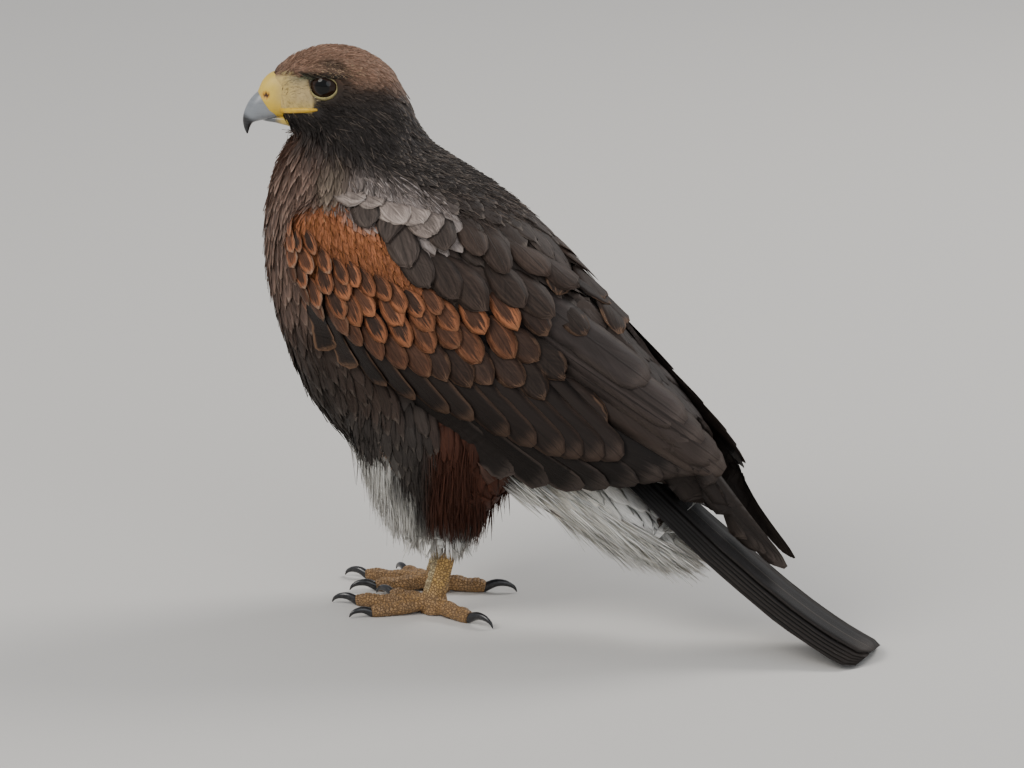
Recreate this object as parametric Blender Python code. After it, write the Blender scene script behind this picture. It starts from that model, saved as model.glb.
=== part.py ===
"""A Harris's hawk standing on level ground, life size and still.

The bird faces -X, its left side is towards -Y and +Z is up. Sizes are in
millimetres until metres() turns them into Blender's unit. The origin lies
on the floor, under the middle of the bird's box.
"""

import math

import bpy
import bmesh
import numpy as np
from mathutils import Matrix, Vector
from mathutils.bvhtree import BVHTree

# Driving sizes, in millimetres
MM = 0.001
GAP = 0.35
VANE_THICKNESS = 0.7
TAIL_PITCH = 1.05
INNER_EDGE = 1.2
HEAD_CENTRE = (-59.5, 0.0, 288.0)
HEAD_TURN = math.radians(22)
EYE_CENTRE = (-9.6, 13.9, 10.2)
EYE_RADIUS = 9.6
EYE_AIM = math.radians(12)
LID_REACH = 6.4
LEFT_FOOT = (6.0, -21.0)
RIGHT_FOOT = (-10.0, 21.0)
ANKLE_RISE = 88.0
ANKLE_BACK = 22.0
TAIL_HALF_WIDTH = 28.5
BOX_CENTRE = (76.316, 0.0)

# Sections of the trunk, from the neck to the root of the tail:
# dorsal x and z, ventral x and z, half width, waist, fullness
TRUNK = (
    (-22, 291, -80, 279, 20, 0.50, 2.0),
    (-16, 278, -90, 268, 28, 0.50, 2.0),
    (-9, 267, -99, 252, 37, 0.50, 2.0),
    (3, 259, -104, 229, 46, 0.48, 2.1),
    (18, 251, -104, 201, 53, 0.46, 2.2),
    (36, 242, -100, 174, 56, 0.46, 2.2),
    (56, 229, -91, 147, 56, 0.46, 2.2),
    (73, 212, -79, 120, 53, 0.46, 2.2),
    (86, 192, -61, 98, 49, 0.46, 2.1),
    (94, 172, -38, 83, 43, 0.46, 2.1),
    (99, 157, -6, 77, 37, 0.48, 2.0),
    (106, 146, 26, 76, 31, 0.50, 2.0),
    (115, 134, 58, 82, 26, 0.50, 2.0),
    (127, 121, 90, 95, 21, 0.50, 2.0),
    (140, 107, 122, 91, 15, 0.50, 2.0),
    (151, 93, 146, 83, 8, 0.50, 2.0),
)

# Sections of the head along its own axis: the same seven sizes, about its centre
HEAD = (
    (-40, 18.0, -38, -9, 8.6, 0.60, 2.1),
    (-36, 21.5, -35, -13, 11.0, 0.60, 2.1),
    (-29, 26.0, -29, -20, 15.5, 0.58, 2.2),
    (-21, 29.4, -22, -25, 19.0, 0.56, 2.3),
    (-12, 31.6, -12, -28, 21.5, 0.54, 2.3),
    (-2, 31.9, -2, -30, 24.0, 0.53, 2.2),
    (9, 29.6, 7, -31, 25.6, 0.52, 2.1),
    (20, 24.0, 16, -31, 25.6, 0.52, 2.0),
    (30, 14.5, 23, -30, 23.5, 0.52, 2.0),
    (37, 2.0, 29, -28, 18.5, 0.52, 2.0),
    (40, -10.0, 34, -24, 10.0, 0.52, 2.0),
)
FACE = (
    (-49.3, 4.6, -39.0, -10.2, 7.4, 0.55, 2.2),
    (-46.5, 11.0, -36.0, -10.0, 8.4, 0.58, 2.2),
    (-41, 16.6, -31, -10.2, 9.6, 0.60, 2.2),
    (-34, 20.0, -26, -11.0, 12.0, 0.60, 2.2),
)
UPPER_BILL = (
    (-49.3, 4.4, -39.0, -10.8, 7.3, 0.60, 2.2),
    (-53.6, -0.2, -43.5, -11.6, 6.8, 0.60, 2.1),
    (-56.6, -6.0, -48.0, -12.4, 5.4, 0.60, 2.0),
    (-57.8, -11.6, -51.8, -13.6, 3.7, 0.60, 2.0),
    (-57.2, -16.4, -53.6, -16.2, 2.0, 0.60, 2.0),
    (-55.6, -20.2, -54.8, -20.0, 0.6, 0.60, 2.0),
)
LOWER_BILL = (
    (-27.0, -11.0, -27.0, -17.0, 8.2, 0.45, 2.2),
    (-34.0, -11.2, -34.0, -15.7, 7.0, 0.45, 2.2),
    (-39.0, -11.4, -39.0, -14.8, 5.6, 0.45, 2.2),
    (-43.5, -12.2, -43.5, -14.5, 3.8, 0.45, 2.0),
    (-47.2, -13.3, -47.0, -14.0, 1.0, 0.45, 2.0),
)

# The yellow corner of the mouth and the slit under it: places on the head's
# profile as x and z, and the radius at each
GAPE_LINE = ((-36.5, -5.0), (-30, -3.5), (-20, -2.4), (-14.4, -1.8))
GAPE_RADII = (1.4, 1.6, 1.8, 1.2)
SLIT_LINE = ((-36.5, -7.6), (-27, -5.8), (-17, -4.6))
SLIT_RADII = (0.9, 0.8, 0.4)

# Stations of the folded left wing, from the wrist back to the primaries' tips:
# upper edge x, y, z, lower edge x, y, z, bulge
WING = (
    (-70, -44, 230, -76, -46, 212, 8),
    (-58, -46, 241, -68, -50, 188, 16),
    (-34, -45, 245, -48, -51, 165, 20),
    (0, -42, 240, -23, -50, 143, 24),
    (29, -34, 232, 12, -48, 125, 27),
    (56, -22, 221, 48, -45, 111, 28),
    (84, -10, 203, 82, -39, 94, 27),
    (112, -5, 179, 110, -34, 86, 23),
    (138, -4, 154, 138, -31, 89, 17),
    (160, -3, 133, 160, -27, 96, 11),
    (178, -3, 112, 174, -22, 96, 7),
    (197, -4, 84, 188, -17, 68, 4),
    (217, -5, 58, 206, -13, 46, 3),
)

# Feather tiers of the folded wing, lowest first: how many, the first and last
# root and tip as (station, share from the upper edge to the lower), then the
# width, the lift at root and tip, and how far the line of tips bows
TIERS = (
    ("primaries", 4, (8.2, 0.62), (8.0, 0.25), (11.2, 0.90), (12.0, 0.40), 14, (-4.2, -2.6), 0.0),
    ("secondaries", 7, (3.2, 0.84), (6.6, 0.38), (5.4, 1.05), (10.1, 0.62), 22, (-4.2, 0.0), 0.8),
    ("greater", 7, (1.4, 0.74), (5.0, 0.38), (2.2, 1.03), (7.7, 0.68), 23, (-3.6, 2.4), 0.3),
    ("tertials", 3, (5.8, 0.30), (4.8, 0.10), (10.1, 0.40), (7.9, 0.14), 26, (-3.6, 2.8), 0.3),
)

# Locks of the white undertail coverts: how many to a row, then root x, root z,
# tip x, tip z and half the row's spread
UNDERTAIL_CORE = (
    (84, 106, 46, 80, 22, 0.50, 2.1),
    (98, 100, 66, 66, 25, 0.50, 2.1),
    (116, 87, 90, 54, 23, 0.50, 2.1),
    (132, 73, 114, 49, 17, 0.50, 2.0),
    (144, 61, 133, 48, 9, 0.50, 2.0),
)
UNDERTAIL_ROWS = (
    (4, 78, 72, 116, 43, 18),
    (5, 108, 58, 150, 44, 14),
)

# Sections of one trouser leg: front x, z, rear x, z, half width; and its locks
THIGH = (
    (-30, 158, 48, 156, 10),
    (-44, 138, 62, 136, 20),
    (-50, 116, 68, 114, 26),
    (-43, 94, 62, 93, 25),
    (-33, 76, 50, 76, 20.5),
    (-21, 60, 37, 61, 15),
    (-7, 48, 24, 48, 9.5),
)
THIGH_LOCKS = (
    (7, 0.62, 60, 37),
)
SCUTES = 7
SHANK_FOOT = 13.0
SHANK_TOP = 48.0 - GAP

# Toes of the left foot: bearing from straight ahead towards the left, length,
# radius at the root and at the end, length of the claw
TOES = (
    ("inner", -27, 33, 4.8, 4.0, 26),
    ("middle", 6, 44, 4.9, 3.9, 25),
    ("outer", 40, 35, 4.5, 3.6, 22),
    ("hind", 160, 30, 4.9, 4.2, 31),
)


def metres(points):
    """The bird's millimetres as points in Blender's metres, about the origin."""
    shift = np.array([BOX_CENTRE[0], BOX_CENTRE[1], 0.0])
    return (np.asarray(points, float) - shift) * MM


def clear_scene():
    for obj in list(bpy.data.objects):
        bpy.data.objects.remove(obj, do_unlink=True)


def make_collections():
    """The bird's collection, and one for what only cuts or guides."""
    bird = bpy.data.collections.new("harris_hawk")
    tools = bpy.data.collections.new("cutters")
    for collection in (bird, tools):
        bpy.context.scene.collection.children.link(collection)
    return bird, tools


def add_object(name, mesh, collection):
    obj = bpy.data.objects.new(name, mesh)
    collection.objects.link(obj)
    return obj


def smooth_rows(rows, count):
    """Rows of numbers run through a Catmull-Rom curve, as count rows."""
    rows = np.array(rows, float)
    places = np.linspace(0, len(rows) - 1, count)
    return np.array([row_at(rows, place) for place in places])


def row_at(rows, place):
    """The row at a place between the given ones, and in line with them past the ends."""
    last = len(rows) - 1
    index = int(min(max(math.floor(place), 0), last - 1))
    t = place - index
    before, start, end, after = (rows[min(max(index + k, 0), last)] for k in (-1, 0, 1, 2))
    if t < 0:
        return start + (end - start) * t
    if t > 1:
        return end + (end - start) * (t - 1)
    slope_in = (end - before) / 2
    slope_out = (after - start) / 2
    return (
        start * (2 * t**3 - 3 * t**2 + 1)
        + slope_in * (t**3 - 2 * t**2 + t)
        + end * (3 * t**2 - 2 * t**3)
        + slope_out * (t**3 - t**2)
    )


def section_ring(section, around):
    """A closed ring through the dorsal and ventral points of one section."""
    top = np.array([section[0], 0.0, section[1]])
    bottom = np.array([section[2], 0.0, section[3]])
    half_width, waist, fullness = section[4:7]
    centre = top + (bottom - top) * waist
    ring = []
    for step in range(around):
        angle = 2 * math.pi * step / around
        rise = math.copysign(abs(math.cos(angle)) ** (2 / fullness), math.cos(angle))
        side = math.copysign(abs(math.sin(angle)) ** (2 / fullness), math.sin(angle))
        end = top if rise > 0 else bottom
        ring.append(centre + (end - centre) * abs(rise) + np.array([0, half_width * side, 0]))
    return ring


def loft(name, rings, collection):
    """A closed skin over rings that have the same number of points."""
    form = bmesh.new()
    loops = [[form.verts.new(point) for point in metres(ring)] for ring in rings]
    around = len(loops[0])
    for first, second in zip(loops, loops[1:]):
        for k in range(around):
            following = (k + 1) % around
            form.faces.new((first[k], first[following], second[following], second[k]))
    form.faces.new(loops[0])
    form.faces.new(loops[-1])
    bmesh.ops.recalc_face_normals(form, faces=form.faces)
    bmesh.ops.triangulate(form, faces=form.faces)
    mesh = bpy.data.meshes.new(name)
    form.to_mesh(mesh)
    form.free()
    return add_object(name, mesh, collection)


def evaluated_mesh(obj):
    """The object's mesh with its modifiers applied."""
    bpy.context.view_layer.update()
    graph = bpy.context.evaluated_depsgraph_get()
    return bpy.data.meshes.new_from_object(obj.evaluated_get(graph))


def apply_modifiers(obj):
    mesh = evaluated_mesh(obj)
    obj.modifiers.clear()
    obj.data = mesh
    return obj


def copy_of(obj, name, collection):
    return add_object(name, obj.data.copy(), collection)


def grown(obj, by, collection):
    """A copy that is fatter all round, to cut a neighbour clear of this piece."""
    fat = copy_of(obj, obj.name + "_grown", collection)
    normals = [vertex.normal.copy() for vertex in fat.data.vertices]
    for vertex, normal in zip(fat.data.vertices, normals):
        vertex.co += normal * by * MM
    return fat


def boolean(obj, operation, other, solver="EXACT"):
    modifier = obj.modifiers.new(operation.lower(), "BOOLEAN")
    modifier.operation = operation
    modifier.solver = solver
    modifier.object = other
    apply_modifiers(obj)
    return obj


def cut_away(obj, cutter, solver="EXACT"):
    """Cuts obj clear of the cutter, removes the cutter and keeps the main body."""
    boolean(obj, "DIFFERENCE", cutter, solver)
    bpy.data.objects.remove(cutter, do_unlink=True)
    return keep_largest(obj)


def fuse(name, pieces, collection):
    """One closed body from pieces that overlap, by a single union."""
    group = bpy.data.collections.new(name + "_pieces")
    bpy.context.scene.collection.children.link(group)
    first, rest = pieces[0], pieces[1:]
    for piece in rest:
        for owner in list(piece.users_collection):
            owner.objects.unlink(piece)
        group.objects.link(piece)
    modifier = first.modifiers.new("union", "BOOLEAN")
    modifier.operation = "UNION"
    modifier.operand_type = "COLLECTION"
    modifier.collection = group
    modifier.solver = "MANIFOLD"
    apply_modifiers(first)
    for piece in rest:
        bpy.data.objects.remove(piece, do_unlink=True)
    bpy.data.collections.remove(group)
    first.name = name
    return keep_largest(first)


def keep_largest(obj):
    """Keeps only the largest closed surface of a mesh."""
    form = bmesh.new()
    form.from_mesh(obj.data)
    unseen = set(form.verts)
    shells = []
    while unseen:
        edge = [unseen.pop()]
        shell = set(edge)
        while edge:
            vertex = edge.pop()
            for link in vertex.link_edges:
                other = link.other_vert(vertex)
                if other in unseen:
                    unseen.discard(other)
                    shell.add(other)
                    edge.append(other)
        shells.append(shell)
    size = {id(shell): box_size(shell) for shell in shells}
    largest = max(shells, key=lambda shell: size[id(shell)])
    loose = [vertex for shell in shells if shell is not largest for vertex in shell]
    bmesh.ops.delete(form, geom=loose, context="VERTS")
    bmesh.ops.triangulate(form, faces=form.faces)
    form.to_mesh(obj.data)
    form.free()
    return obj


def box_size(vertices):
    places = np.array([vertex.co for vertex in vertices])
    return float((places.max(axis=0) - places.min(axis=0)).sum())


def slab(name, low, high, collection):
    """A plain box between two corners, as a cutter."""
    low, high = metres(low), metres(high)
    bpy.ops.mesh.primitive_cube_add(size=1, location=(low + high) / 2)
    box = bpy.context.object
    box.name = name
    box.data.transform(Matrix.Diagonal((*(high - low), 1)))
    for owner in list(box.users_collection):
        owner.objects.unlink(box)
    collection.objects.link(box)
    return box


def turn_head(points):
    """Points about the head's centre, turned with the head and put in its place."""
    points = np.asarray(points, float)
    turned = points.copy()
    turned[:, 0] = points[:, 0] * math.cos(HEAD_TURN) - points[:, 1] * math.sin(HEAD_TURN)
    turned[:, 1] = points[:, 0] * math.sin(HEAD_TURN) + points[:, 1] * math.cos(HEAD_TURN)
    return turned + np.array(HEAD_CENTRE)


def head_loft(name, sections, count, around, collection):
    rows = smooth_rows(sections, count)
    return loft(name, [turn_head(section_ring(row, around)) for row in rows], collection)


def head_ball(name, centre, radii, segments, collection):
    """An ellipsoid about a point of the head."""
    form = bmesh.new()
    bmesh.ops.create_uvsphere(form, u_segments=segments, v_segments=segments // 2, radius=1)
    points = np.array([vertex.co for vertex in form.verts]) * radii + centre
    for vertex, point in zip(form.verts, metres(turn_head(points))):
        vertex.co = point
    mesh = bpy.data.meshes.new(name)
    form.to_mesh(mesh)
    form.free()
    return add_object(name, mesh, collection)


def lid_ring(side, collection):
    """The rim of the eyelids, a ring that the eye looks out of."""
    bpy.ops.mesh.primitive_torus_add(
        major_segments=16, minor_segments=4, major_radius=8.4, minor_radius=1.35
    )
    ring = bpy.context.object
    points = np.array([vertex.co for vertex in ring.data.vertices])
    across, out, up = points[:, 0], points[:, 2] + LID_REACH, points[:, 1] * 0.9
    standing = np.stack([
        EYE_CENTRE[0] + across * math.cos(EYE_AIM) - out * math.sin(EYE_AIM),
        side * (EYE_CENTRE[1] + across * math.sin(EYE_AIM) + out * math.cos(EYE_AIM)),
        EYE_CENTRE[2] + up - 0.3,
    ], axis=1)
    for vertex, point in zip(ring.data.vertices, metres(turn_head(standing))):
        vertex.co = point
    if side > 0:
        ring.data.flip_normals()
    for owner in list(ring.users_collection):
        owner.objects.unlink(ring)
    collection.objects.link(ring)
    return ring


def brow_ridge(side, collection):
    """The shelf of bone over one eye, which gives a hawk its frown."""
    stations = (
        (-29, 14.0, 17.6, 1.2),
        (-22, 17.6, 18.2, 2.6),
        (-13, 20.2, 18.6, 3.4),
        (-5, 21.6, 17.8, 3.0),
        (2, 22.2, 16.2, 1.6),
    )
    rings = []
    for x, y, z, radius in stations:
        angles = [2 * math.pi * k / 6 for k in range(6)]
        ring = [(x, side * (y + radius * math.cos(t)), z + 0.8 * radius * math.sin(t)) for t in angles]
        rings.append(turn_head(ring))
    return loft(f"brow_{side}", rings, collection)


def head_surface(skull, x, z, side):
    """How far out the head's side lies at one place of its profile."""
    tree = BVHTree.FromObject(skull, bpy.context.evaluated_depsgraph_get())
    start, end = metres(turn_head([(x, side * 60, z), (x, 0, z)]))
    hit = tree.ray_cast(Vector(start), Vector(end - start).normalized())[0]
    return 60 - (hit - Vector(start)).length / MM


def mouth_line(skull, side, points, radii, drop, name, collection):
    """A limb that runs along the corner of the mouth, at a depth from the skin."""
    path = []
    for x, z in points:
        path.append((x, side * (head_surface(skull, x, z, side) - drop), z))
    return limb(name, turn_head(path), radii, 4, collection)


def nostril(side, collection):
    """A short oval hole in the side of the cere."""
    centre = (-44.6, side * 8.6, 3.4)
    return head_ball(f"nostril_{side}", centre, (1.7, 2.6, 1.2), 10, collection)


def build_eyes(bird):
    eyes = {}
    for side, name in ((-1, "eye_left"), (1, "eye_right")):
        centre = (EYE_CENTRE[0], side * EYE_CENTRE[1], EYE_CENTRE[2])
        eyes[side] = head_ball(name, centre, (EYE_RADIUS,) * 3, 14, bird)
        eyes[side].data.shade_smooth()
    return eyes


def build_head_and_trunk(bird, tools):
    """Head, neck and torso, modelled whole and parted with thin cuts."""
    rows = smooth_rows(TRUNK, 24)
    whole = loft("torso", [section_ring(row, 22) for row in rows], bird)
    skull = head_loft("head", HEAD, 14, 18, bird)
    bpy.context.view_layer.update()
    extras, slits = [], []
    for side in (-1, 1):
        extras += [brow_ridge(side, tools), lid_ring(side, tools)]
        extras.append(mouth_line(skull, side, GAPE_LINE, GAPE_RADII, 0.5, f"gape_{side}", tools))
        slits.append(mouth_line(skull, side, SLIT_LINE, SLIT_RADII, 0.1, f"slit_{side}", tools))
    head = fuse("head", [skull, *extras], bird)
    for slit in slits:
        cut_away(head, slit)
    boolean(whole, "UNION", head)
    bpy.data.objects.remove(head, do_unlink=True)
    eyes = build_eyes(bird)
    for side, eye in eyes.items():
        cut_away(whole, grown(eye, GAP, tools))
    nape_tilt = 0.30
    parts = split_by_planes(whole, ((275.0, nape_tilt), (250.0, nape_tilt)), tools, bird)
    return dict(zip(("head", "neck", "torso"), parts)), eyes


def split_by_planes(whole, cuts, tools, bird):
    """Parts a body with thin slabs that tilt up towards the back."""
    parts = []
    pivot_x = HEAD_CENTRE[0]
    for index, name in enumerate(("head", "neck", "torso")):
        piece = copy_of(whole, name + "_cut", bird)
        if index > 0:
            cut_away(piece, tilted_block(cuts[index - 1], -GAP, 200, pivot_x, tools))
        if index < 2:
            cut_away(piece, tilted_block(cuts[index], -400, 0, pivot_x, tools))
        parts.append(piece)
    bpy.data.objects.remove(whole, do_unlink=True)
    for piece, name in zip(parts, ("head", "neck", "torso")):
        piece.name = name
    return parts


def tilted_block(cut, low, high, pivot_x, collection):
    """A block whose faces lie low and high above a cut that slopes down to the front."""
    level, tilt = cut
    block = slab("cut", (-300, -150, low), (300, 150, high), collection)
    slope = Matrix.Rotation(-tilt, 4, "Y")
    centre = Vector(metres((0, 0, 0)))
    move = Matrix.Translation(Vector(metres((pivot_x, 0, level)))) @ slope
    block.data.transform(Matrix.Translation(block.location - centre))
    block.location = (0, 0, 0)
    block.data.transform(move)
    return block


def build_face(parts, bird, tools):
    """Cere, upper bill and lower bill, each clear of the next."""
    cere = head_loft("cere", FACE, 7, 16, bird)
    upper = head_loft("bill_upper", UPPER_BILL, 11, 12, bird)
    lower = head_loft("bill_lower", LOWER_BILL, 8, 12, bird)
    cut_away(cere, grown(parts["head"], GAP, tools))
    for side in (-1, 1):
        cut_away(cere, nostril(side, tools))
    cut_away(upper, grown(head_loft("cere_form", FACE, 7, 16, tools), GAP, tools))
    bpy.data.objects.remove(bpy.data.objects["cere_form"], do_unlink=True)
    cut_away(parts["head"], grown(lower, GAP, tools))
    return {"cere": cere, "bill_upper": upper, "bill_lower": lower}


def flank(station, share):
    """A point on the outside of the folded left wing."""
    row = row_at(np.array(WING, float), station)
    upper, lower, bulge = row[:3], row[3:6], row[6]
    arch = math.sin(math.pi * share) + 0.15 * math.sin(3 * math.pi * share)
    return upper + (lower - upper) * share + np.array([0, -bulge * arch, 0])


def flank_frame(station, share):
    """The point there, its two slopes and the outward normal."""
    step = 0.02
    point = flank(station, share)
    along = (flank(station + step, share) - flank(station - step, share)) / (2 * step)
    across = (flank(station, share + step) - flank(station, share - step)) / (2 * step)
    normal = np.cross(across, along)
    return point, along, across, normal / np.linalg.norm(normal)


def vane_outline(share):
    """Half width of a vane along its length, as a share of the widest."""
    taper = 0.55 + 0.45 * math.sin(min(share / 0.6, 1) * math.pi / 2)
    if share > 0.72:
        taper *= math.sqrt(max(1 - ((share - 0.72) / 0.285) ** 2, 0.0))
    return taper


VANE_STATIONS = (0.0, 0.3, 0.62, 0.9, 1.0)


def wing_vane(name, root, tip, width, lifts, collection):
    """One feather that lies on the flank: a thin plate that follows its curve."""
    rings = []
    for share in VANE_STATIONS:
        station = root[0] + (tip[0] - root[0]) * share
        place = root[1] + (tip[1] - root[1]) * share
        point, along, across, normal = flank_frame(station, place)
        heading = along * (tip[0] - root[0]) + across * (tip[1] - root[1])
        heading /= np.linalg.norm(heading)
        side = np.cross(normal, heading)
        lift = lifts[1] - (lifts[1] - lifts[0]) * (1 - share) ** 4
        half = max(width / 2 * vane_outline(share), 0.6)
        slopes = np.stack([along, across], axis=1)
        outer, inner = [], []
        for way in (-1, 1):
            shift = np.linalg.lstsq(slopes, side * way * half, rcond=None)[0]
            edge, _, _, edge_normal = flank_frame(station + shift[0], place + shift[1])
            roll = lift + way * 0.8
            outer.append(edge + edge_normal * roll)
            inner.append(edge + edge_normal * (roll - VANE_THICKNESS))
        rings.append(outer + inner[::-1])
    return loft(name, rings, collection)


def smooth_step(value):
    value = min(max(value, 0.0), 1.0)
    return value * value * (3 - 2 * value)


def wing_core(collection):
    """The wing's own thickness under its feathers, a lens with closed edges."""
    stations = np.linspace(0.15, 9.6, 12)
    shares = np.linspace(0.03, 0.95, 6)
    rings = []
    for station in stations:
        outer, inner = [], []
        thickness = 9.0 - 0.4 * station
        for share in shares:
            point, _, _, normal = flank_frame(station, share)
            edge = 0.35 + 0.65 * math.sin(math.pi * share) ** 0.6
            end = 0.35 + 0.65 * math.sin(math.pi * min(station / 2.0, 0.5))
            sink = 2.2 * smooth_step((station / 6.4 + 1.48 * share - 1.1) / 0.3)
            outer.append(point - normal * sink)
            inner.append(point - normal * (sink + thickness * edge * end))
        rings.append(outer + inner[::-1])
    return loft("wing_core", rings, collection)


def tier_places(tier):
    """Root and tip of each feather of a tier, in the flank's own places."""
    _, count, first_root, last_root, first_tip, last_tip, _, _, bow = tier
    for index in range(count):
        share = index / (count - 1)
        root = [a + (b - a) * share for a, b in zip(first_root, last_root)]
        tip = [a + (b - a) * share for a, b in zip(first_tip, last_tip)]
        tip[0] += bow * math.sin(math.pi * share)
        yield share, root, tip


def build_wing(torso, bird, tools):
    """The folded left wing: its core, and its feathers in tiers upon it."""
    vanes = []
    for tier in TIERS:
        for number, (share, root, tip) in enumerate(tier_places(tier)):
            name = f"{tier[0]}_{number}"
            vanes.append(wing_vane(name, root, tip, tier[6], tier[7], tools))
    wing = fuse("wing_left", [wing_core(bird), *vanes], bird)
    return wing


def mirrored(obj, name, collection):
    """A copy on the bird's other side."""
    twin = copy_of(obj, name, collection)
    middle = -BOX_CENTRE[1] * MM
    for vertex in twin.data.vertices:
        vertex.co.y = 2 * middle - vertex.co.y
    twin.data.flip_normals()
    return twin


TAIL_LINE = ((60, 148), (82, 131), (105, 113), (135, 90.5), (172, 62.5), (211, 35), (242, 17.0), (266, 6.68))


def tail_frame(share):
    """Middle of the tail's upper face at a share of its length, with its heading."""
    line = np.array(TAIL_LINE, float)
    place = share * (len(line) - 1)
    point = row_at(line, place)
    ahead = row_at(line, min(place + 0.05, len(line) - 1)) - row_at(line, max(place - 0.05, 0))
    heading = ahead / np.linalg.norm(ahead)
    return point, heading


def tail_feather(index, side, collection):
    """One rectrix, counted from the middle of the tail, as a long thin plate."""
    if index == 0:
        near, far = -TAIL_HALF_WIDTH * 0.48, TAIL_HALF_WIDTH * 0.48
        middle, half = side * 2.2, (far - near) / 2
        drop = TAIL_PITCH * (side > 0)
    else:
        outer_edge = TAIL_HALF_WIDTH - 2.6 * (5 - index)
        middle, half = side * (outer_edge + INNER_EDGE) / 2, (outer_edge - INNER_EDGE) / 2
        drop = TAIL_PITCH * (index + 1)
    rings = []
    for share in (0.0, 0.35, 0.7, 0.95, 1.0):
        point, heading = tail_frame(share * (1.0 - 0.004 * index))
        upward = np.array([-heading[1], heading[0]])
        widen = 0.4 + 0.6 * min(share / 0.6, 1.0)
        blunt = 0.62 if share == 1.0 else 1.0
        ring = []
        for way, depth in ((-1, 0), (1, 0), (1, VANE_THICKNESS), (-1, VANE_THICKNESS)):
            across = middle * widen + way * half * widen * blunt
            place = point - upward * (drop + depth + 0.002 * across**2)
            ring.append((place[0], across, place[1]))
        rings.append(ring)
    return loft(f"rectrix_{side}_{index}", rings, collection)


def tail_root(collection):
    """The fleshy root that holds the tail feathers' quills."""
    rings = []
    for share, half, up, down in ((0.10, 11, 3, 11), (0.22, 15, 3, 12), (0.34, 17, 3, 12), (0.42, 16, 1.5, 9.0)):
        point, heading = tail_frame(share)
        upward = np.array([-heading[1], heading[0]])
        ring = []
        for step in range(12):
            angle = 2 * math.pi * step / 12
            rise = math.cos(angle)
            reach = up if rise > 0 else down
            place = point + upward * (reach * rise) - upward * 0.5
            ring.append((place[0], half * math.sin(angle), place[1]))
        rings.append(ring)
    return loft("tail", rings, collection)


def build_tail(torso, bird, tools):
    feathers = [tail_feather(index, side, tools) for index in range(6) for side in (-1, 1)]
    tail = fuse("tail", [tail_root(bird), *feathers], bird)
    cut_away(tail, grown(torso, GAP, tools))
    return tail


def lock(name, root, tip, width, bend, normal, collection):
    """A soft feather that hangs free: a tapered plate between two points."""
    root, tip, bend = (np.array(point, float) for point in (root, tip, bend))
    normal = np.array(normal, float) / np.linalg.norm(normal)
    heading = (tip - root) / np.linalg.norm(tip - root)
    side = np.cross(normal, heading)
    rings = []
    for share, wide in ((0.0, 0.8), (0.45, 1.0), (0.8, 0.7), (1.0, 0.15)):
        centre = root + (tip - root) * share + bend * 4 * share * (1 - share)
        half = side * width / 2 * wide
        thick = normal * (1.3 - 0.7 * share) / 2
        rings.append([centre - half + thick, centre + half + thick, centre + half - thick, centre - half - thick])
    return loft(name, rings, collection)


def build_undertail(torso, tail, bird, tools):
    """The white feathers that hang behind the legs and under the tail."""
    rows = smooth_rows(UNDERTAIL_CORE, 7)
    core = loft("undertail_coverts", [section_ring(row, 12) for row in rows], bird)
    locks = []
    for level, (count, root_x, root_z, tip_x, tip_z, spread) in enumerate(UNDERTAIL_ROWS):
        for index in range(count):
            lean = 2 * index / (count - 1) - 1
            root = (root_x, lean * spread * 0.8, root_z + 12 * abs(lean) ** 2)
            tip = (tip_x - 9 * abs(lean), lean * spread, tip_z + 13 * abs(lean) ** 2)
            normal = (-0.4, lean * 1.1, -0.9)
            locks.append(lock(f"covert_{level}_{index}", root, tip, 14, (0, 0, -1.5), normal, tools))
    coverts = fuse("undertail_coverts", [core, *locks], bird)
    cut_away(coverts, grown(torso, GAP, tools))
    cut_away(coverts, grown(tail, 2 * GAP, tools), "MANIFOLD")
    return coverts


def thigh_ring(section, leg_x, leg_y, around):
    front = np.array([section[0] + leg_x, leg_y, section[1]])
    rear = np.array([section[2] + leg_x, leg_y, section[3]])
    centre, reach = (front + rear) / 2, (front - rear) / 2
    ring = []
    for step in range(around):
        angle = 2 * math.pi * step / around
        ring.append(centre + reach * math.cos(angle) + np.array([0, section[4] * math.sin(angle), 0]))
    return ring


def build_thigh(name, foot, others, bird, tools):
    """One feathered trouser leg with its ragged lower edge."""
    leg_x, leg_y = foot[0] - LEFT_FOOT[0] + 2, foot[1] * 1.15
    rows = smooth_rows(THIGH, 9)
    core = loft(name, [thigh_ring(row, leg_x, leg_y, 12) for row in rows], bird)
    locks = []
    for level, (count, out, root_z, tip_z) in enumerate(THIGH_LOCKS):
        for index in range(count):
            angle = 2 * math.pi * (index + 0.5 * level) / count
            way = np.array([math.cos(angle), math.sin(angle)])
            wide = 24 - 11 * level
            deep = 13 - 5.5 * level
            middle = np.array([leg_x + 6, leg_y])
            root = (*(middle + way * (wide * 0.86, deep * 0.86)), root_z)
            tip = (*(middle + way * (wide * 0.68, deep * 0.80) + (5, 0)), tip_z + 5 * (index % 2))
            normal = (way[0] * deep, way[1] * wide, 0.25)
            locks.append(lock(f"trouser_{level}_{index}", root, tip, 13, (0, 0, 0), normal, tools))
    thigh = fuse(name, [core, *locks], bird)
    for other in others:
        cut_away(thigh, grown(other, 1.5 * GAP, tools), "MANIFOLD")
    return thigh


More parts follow.
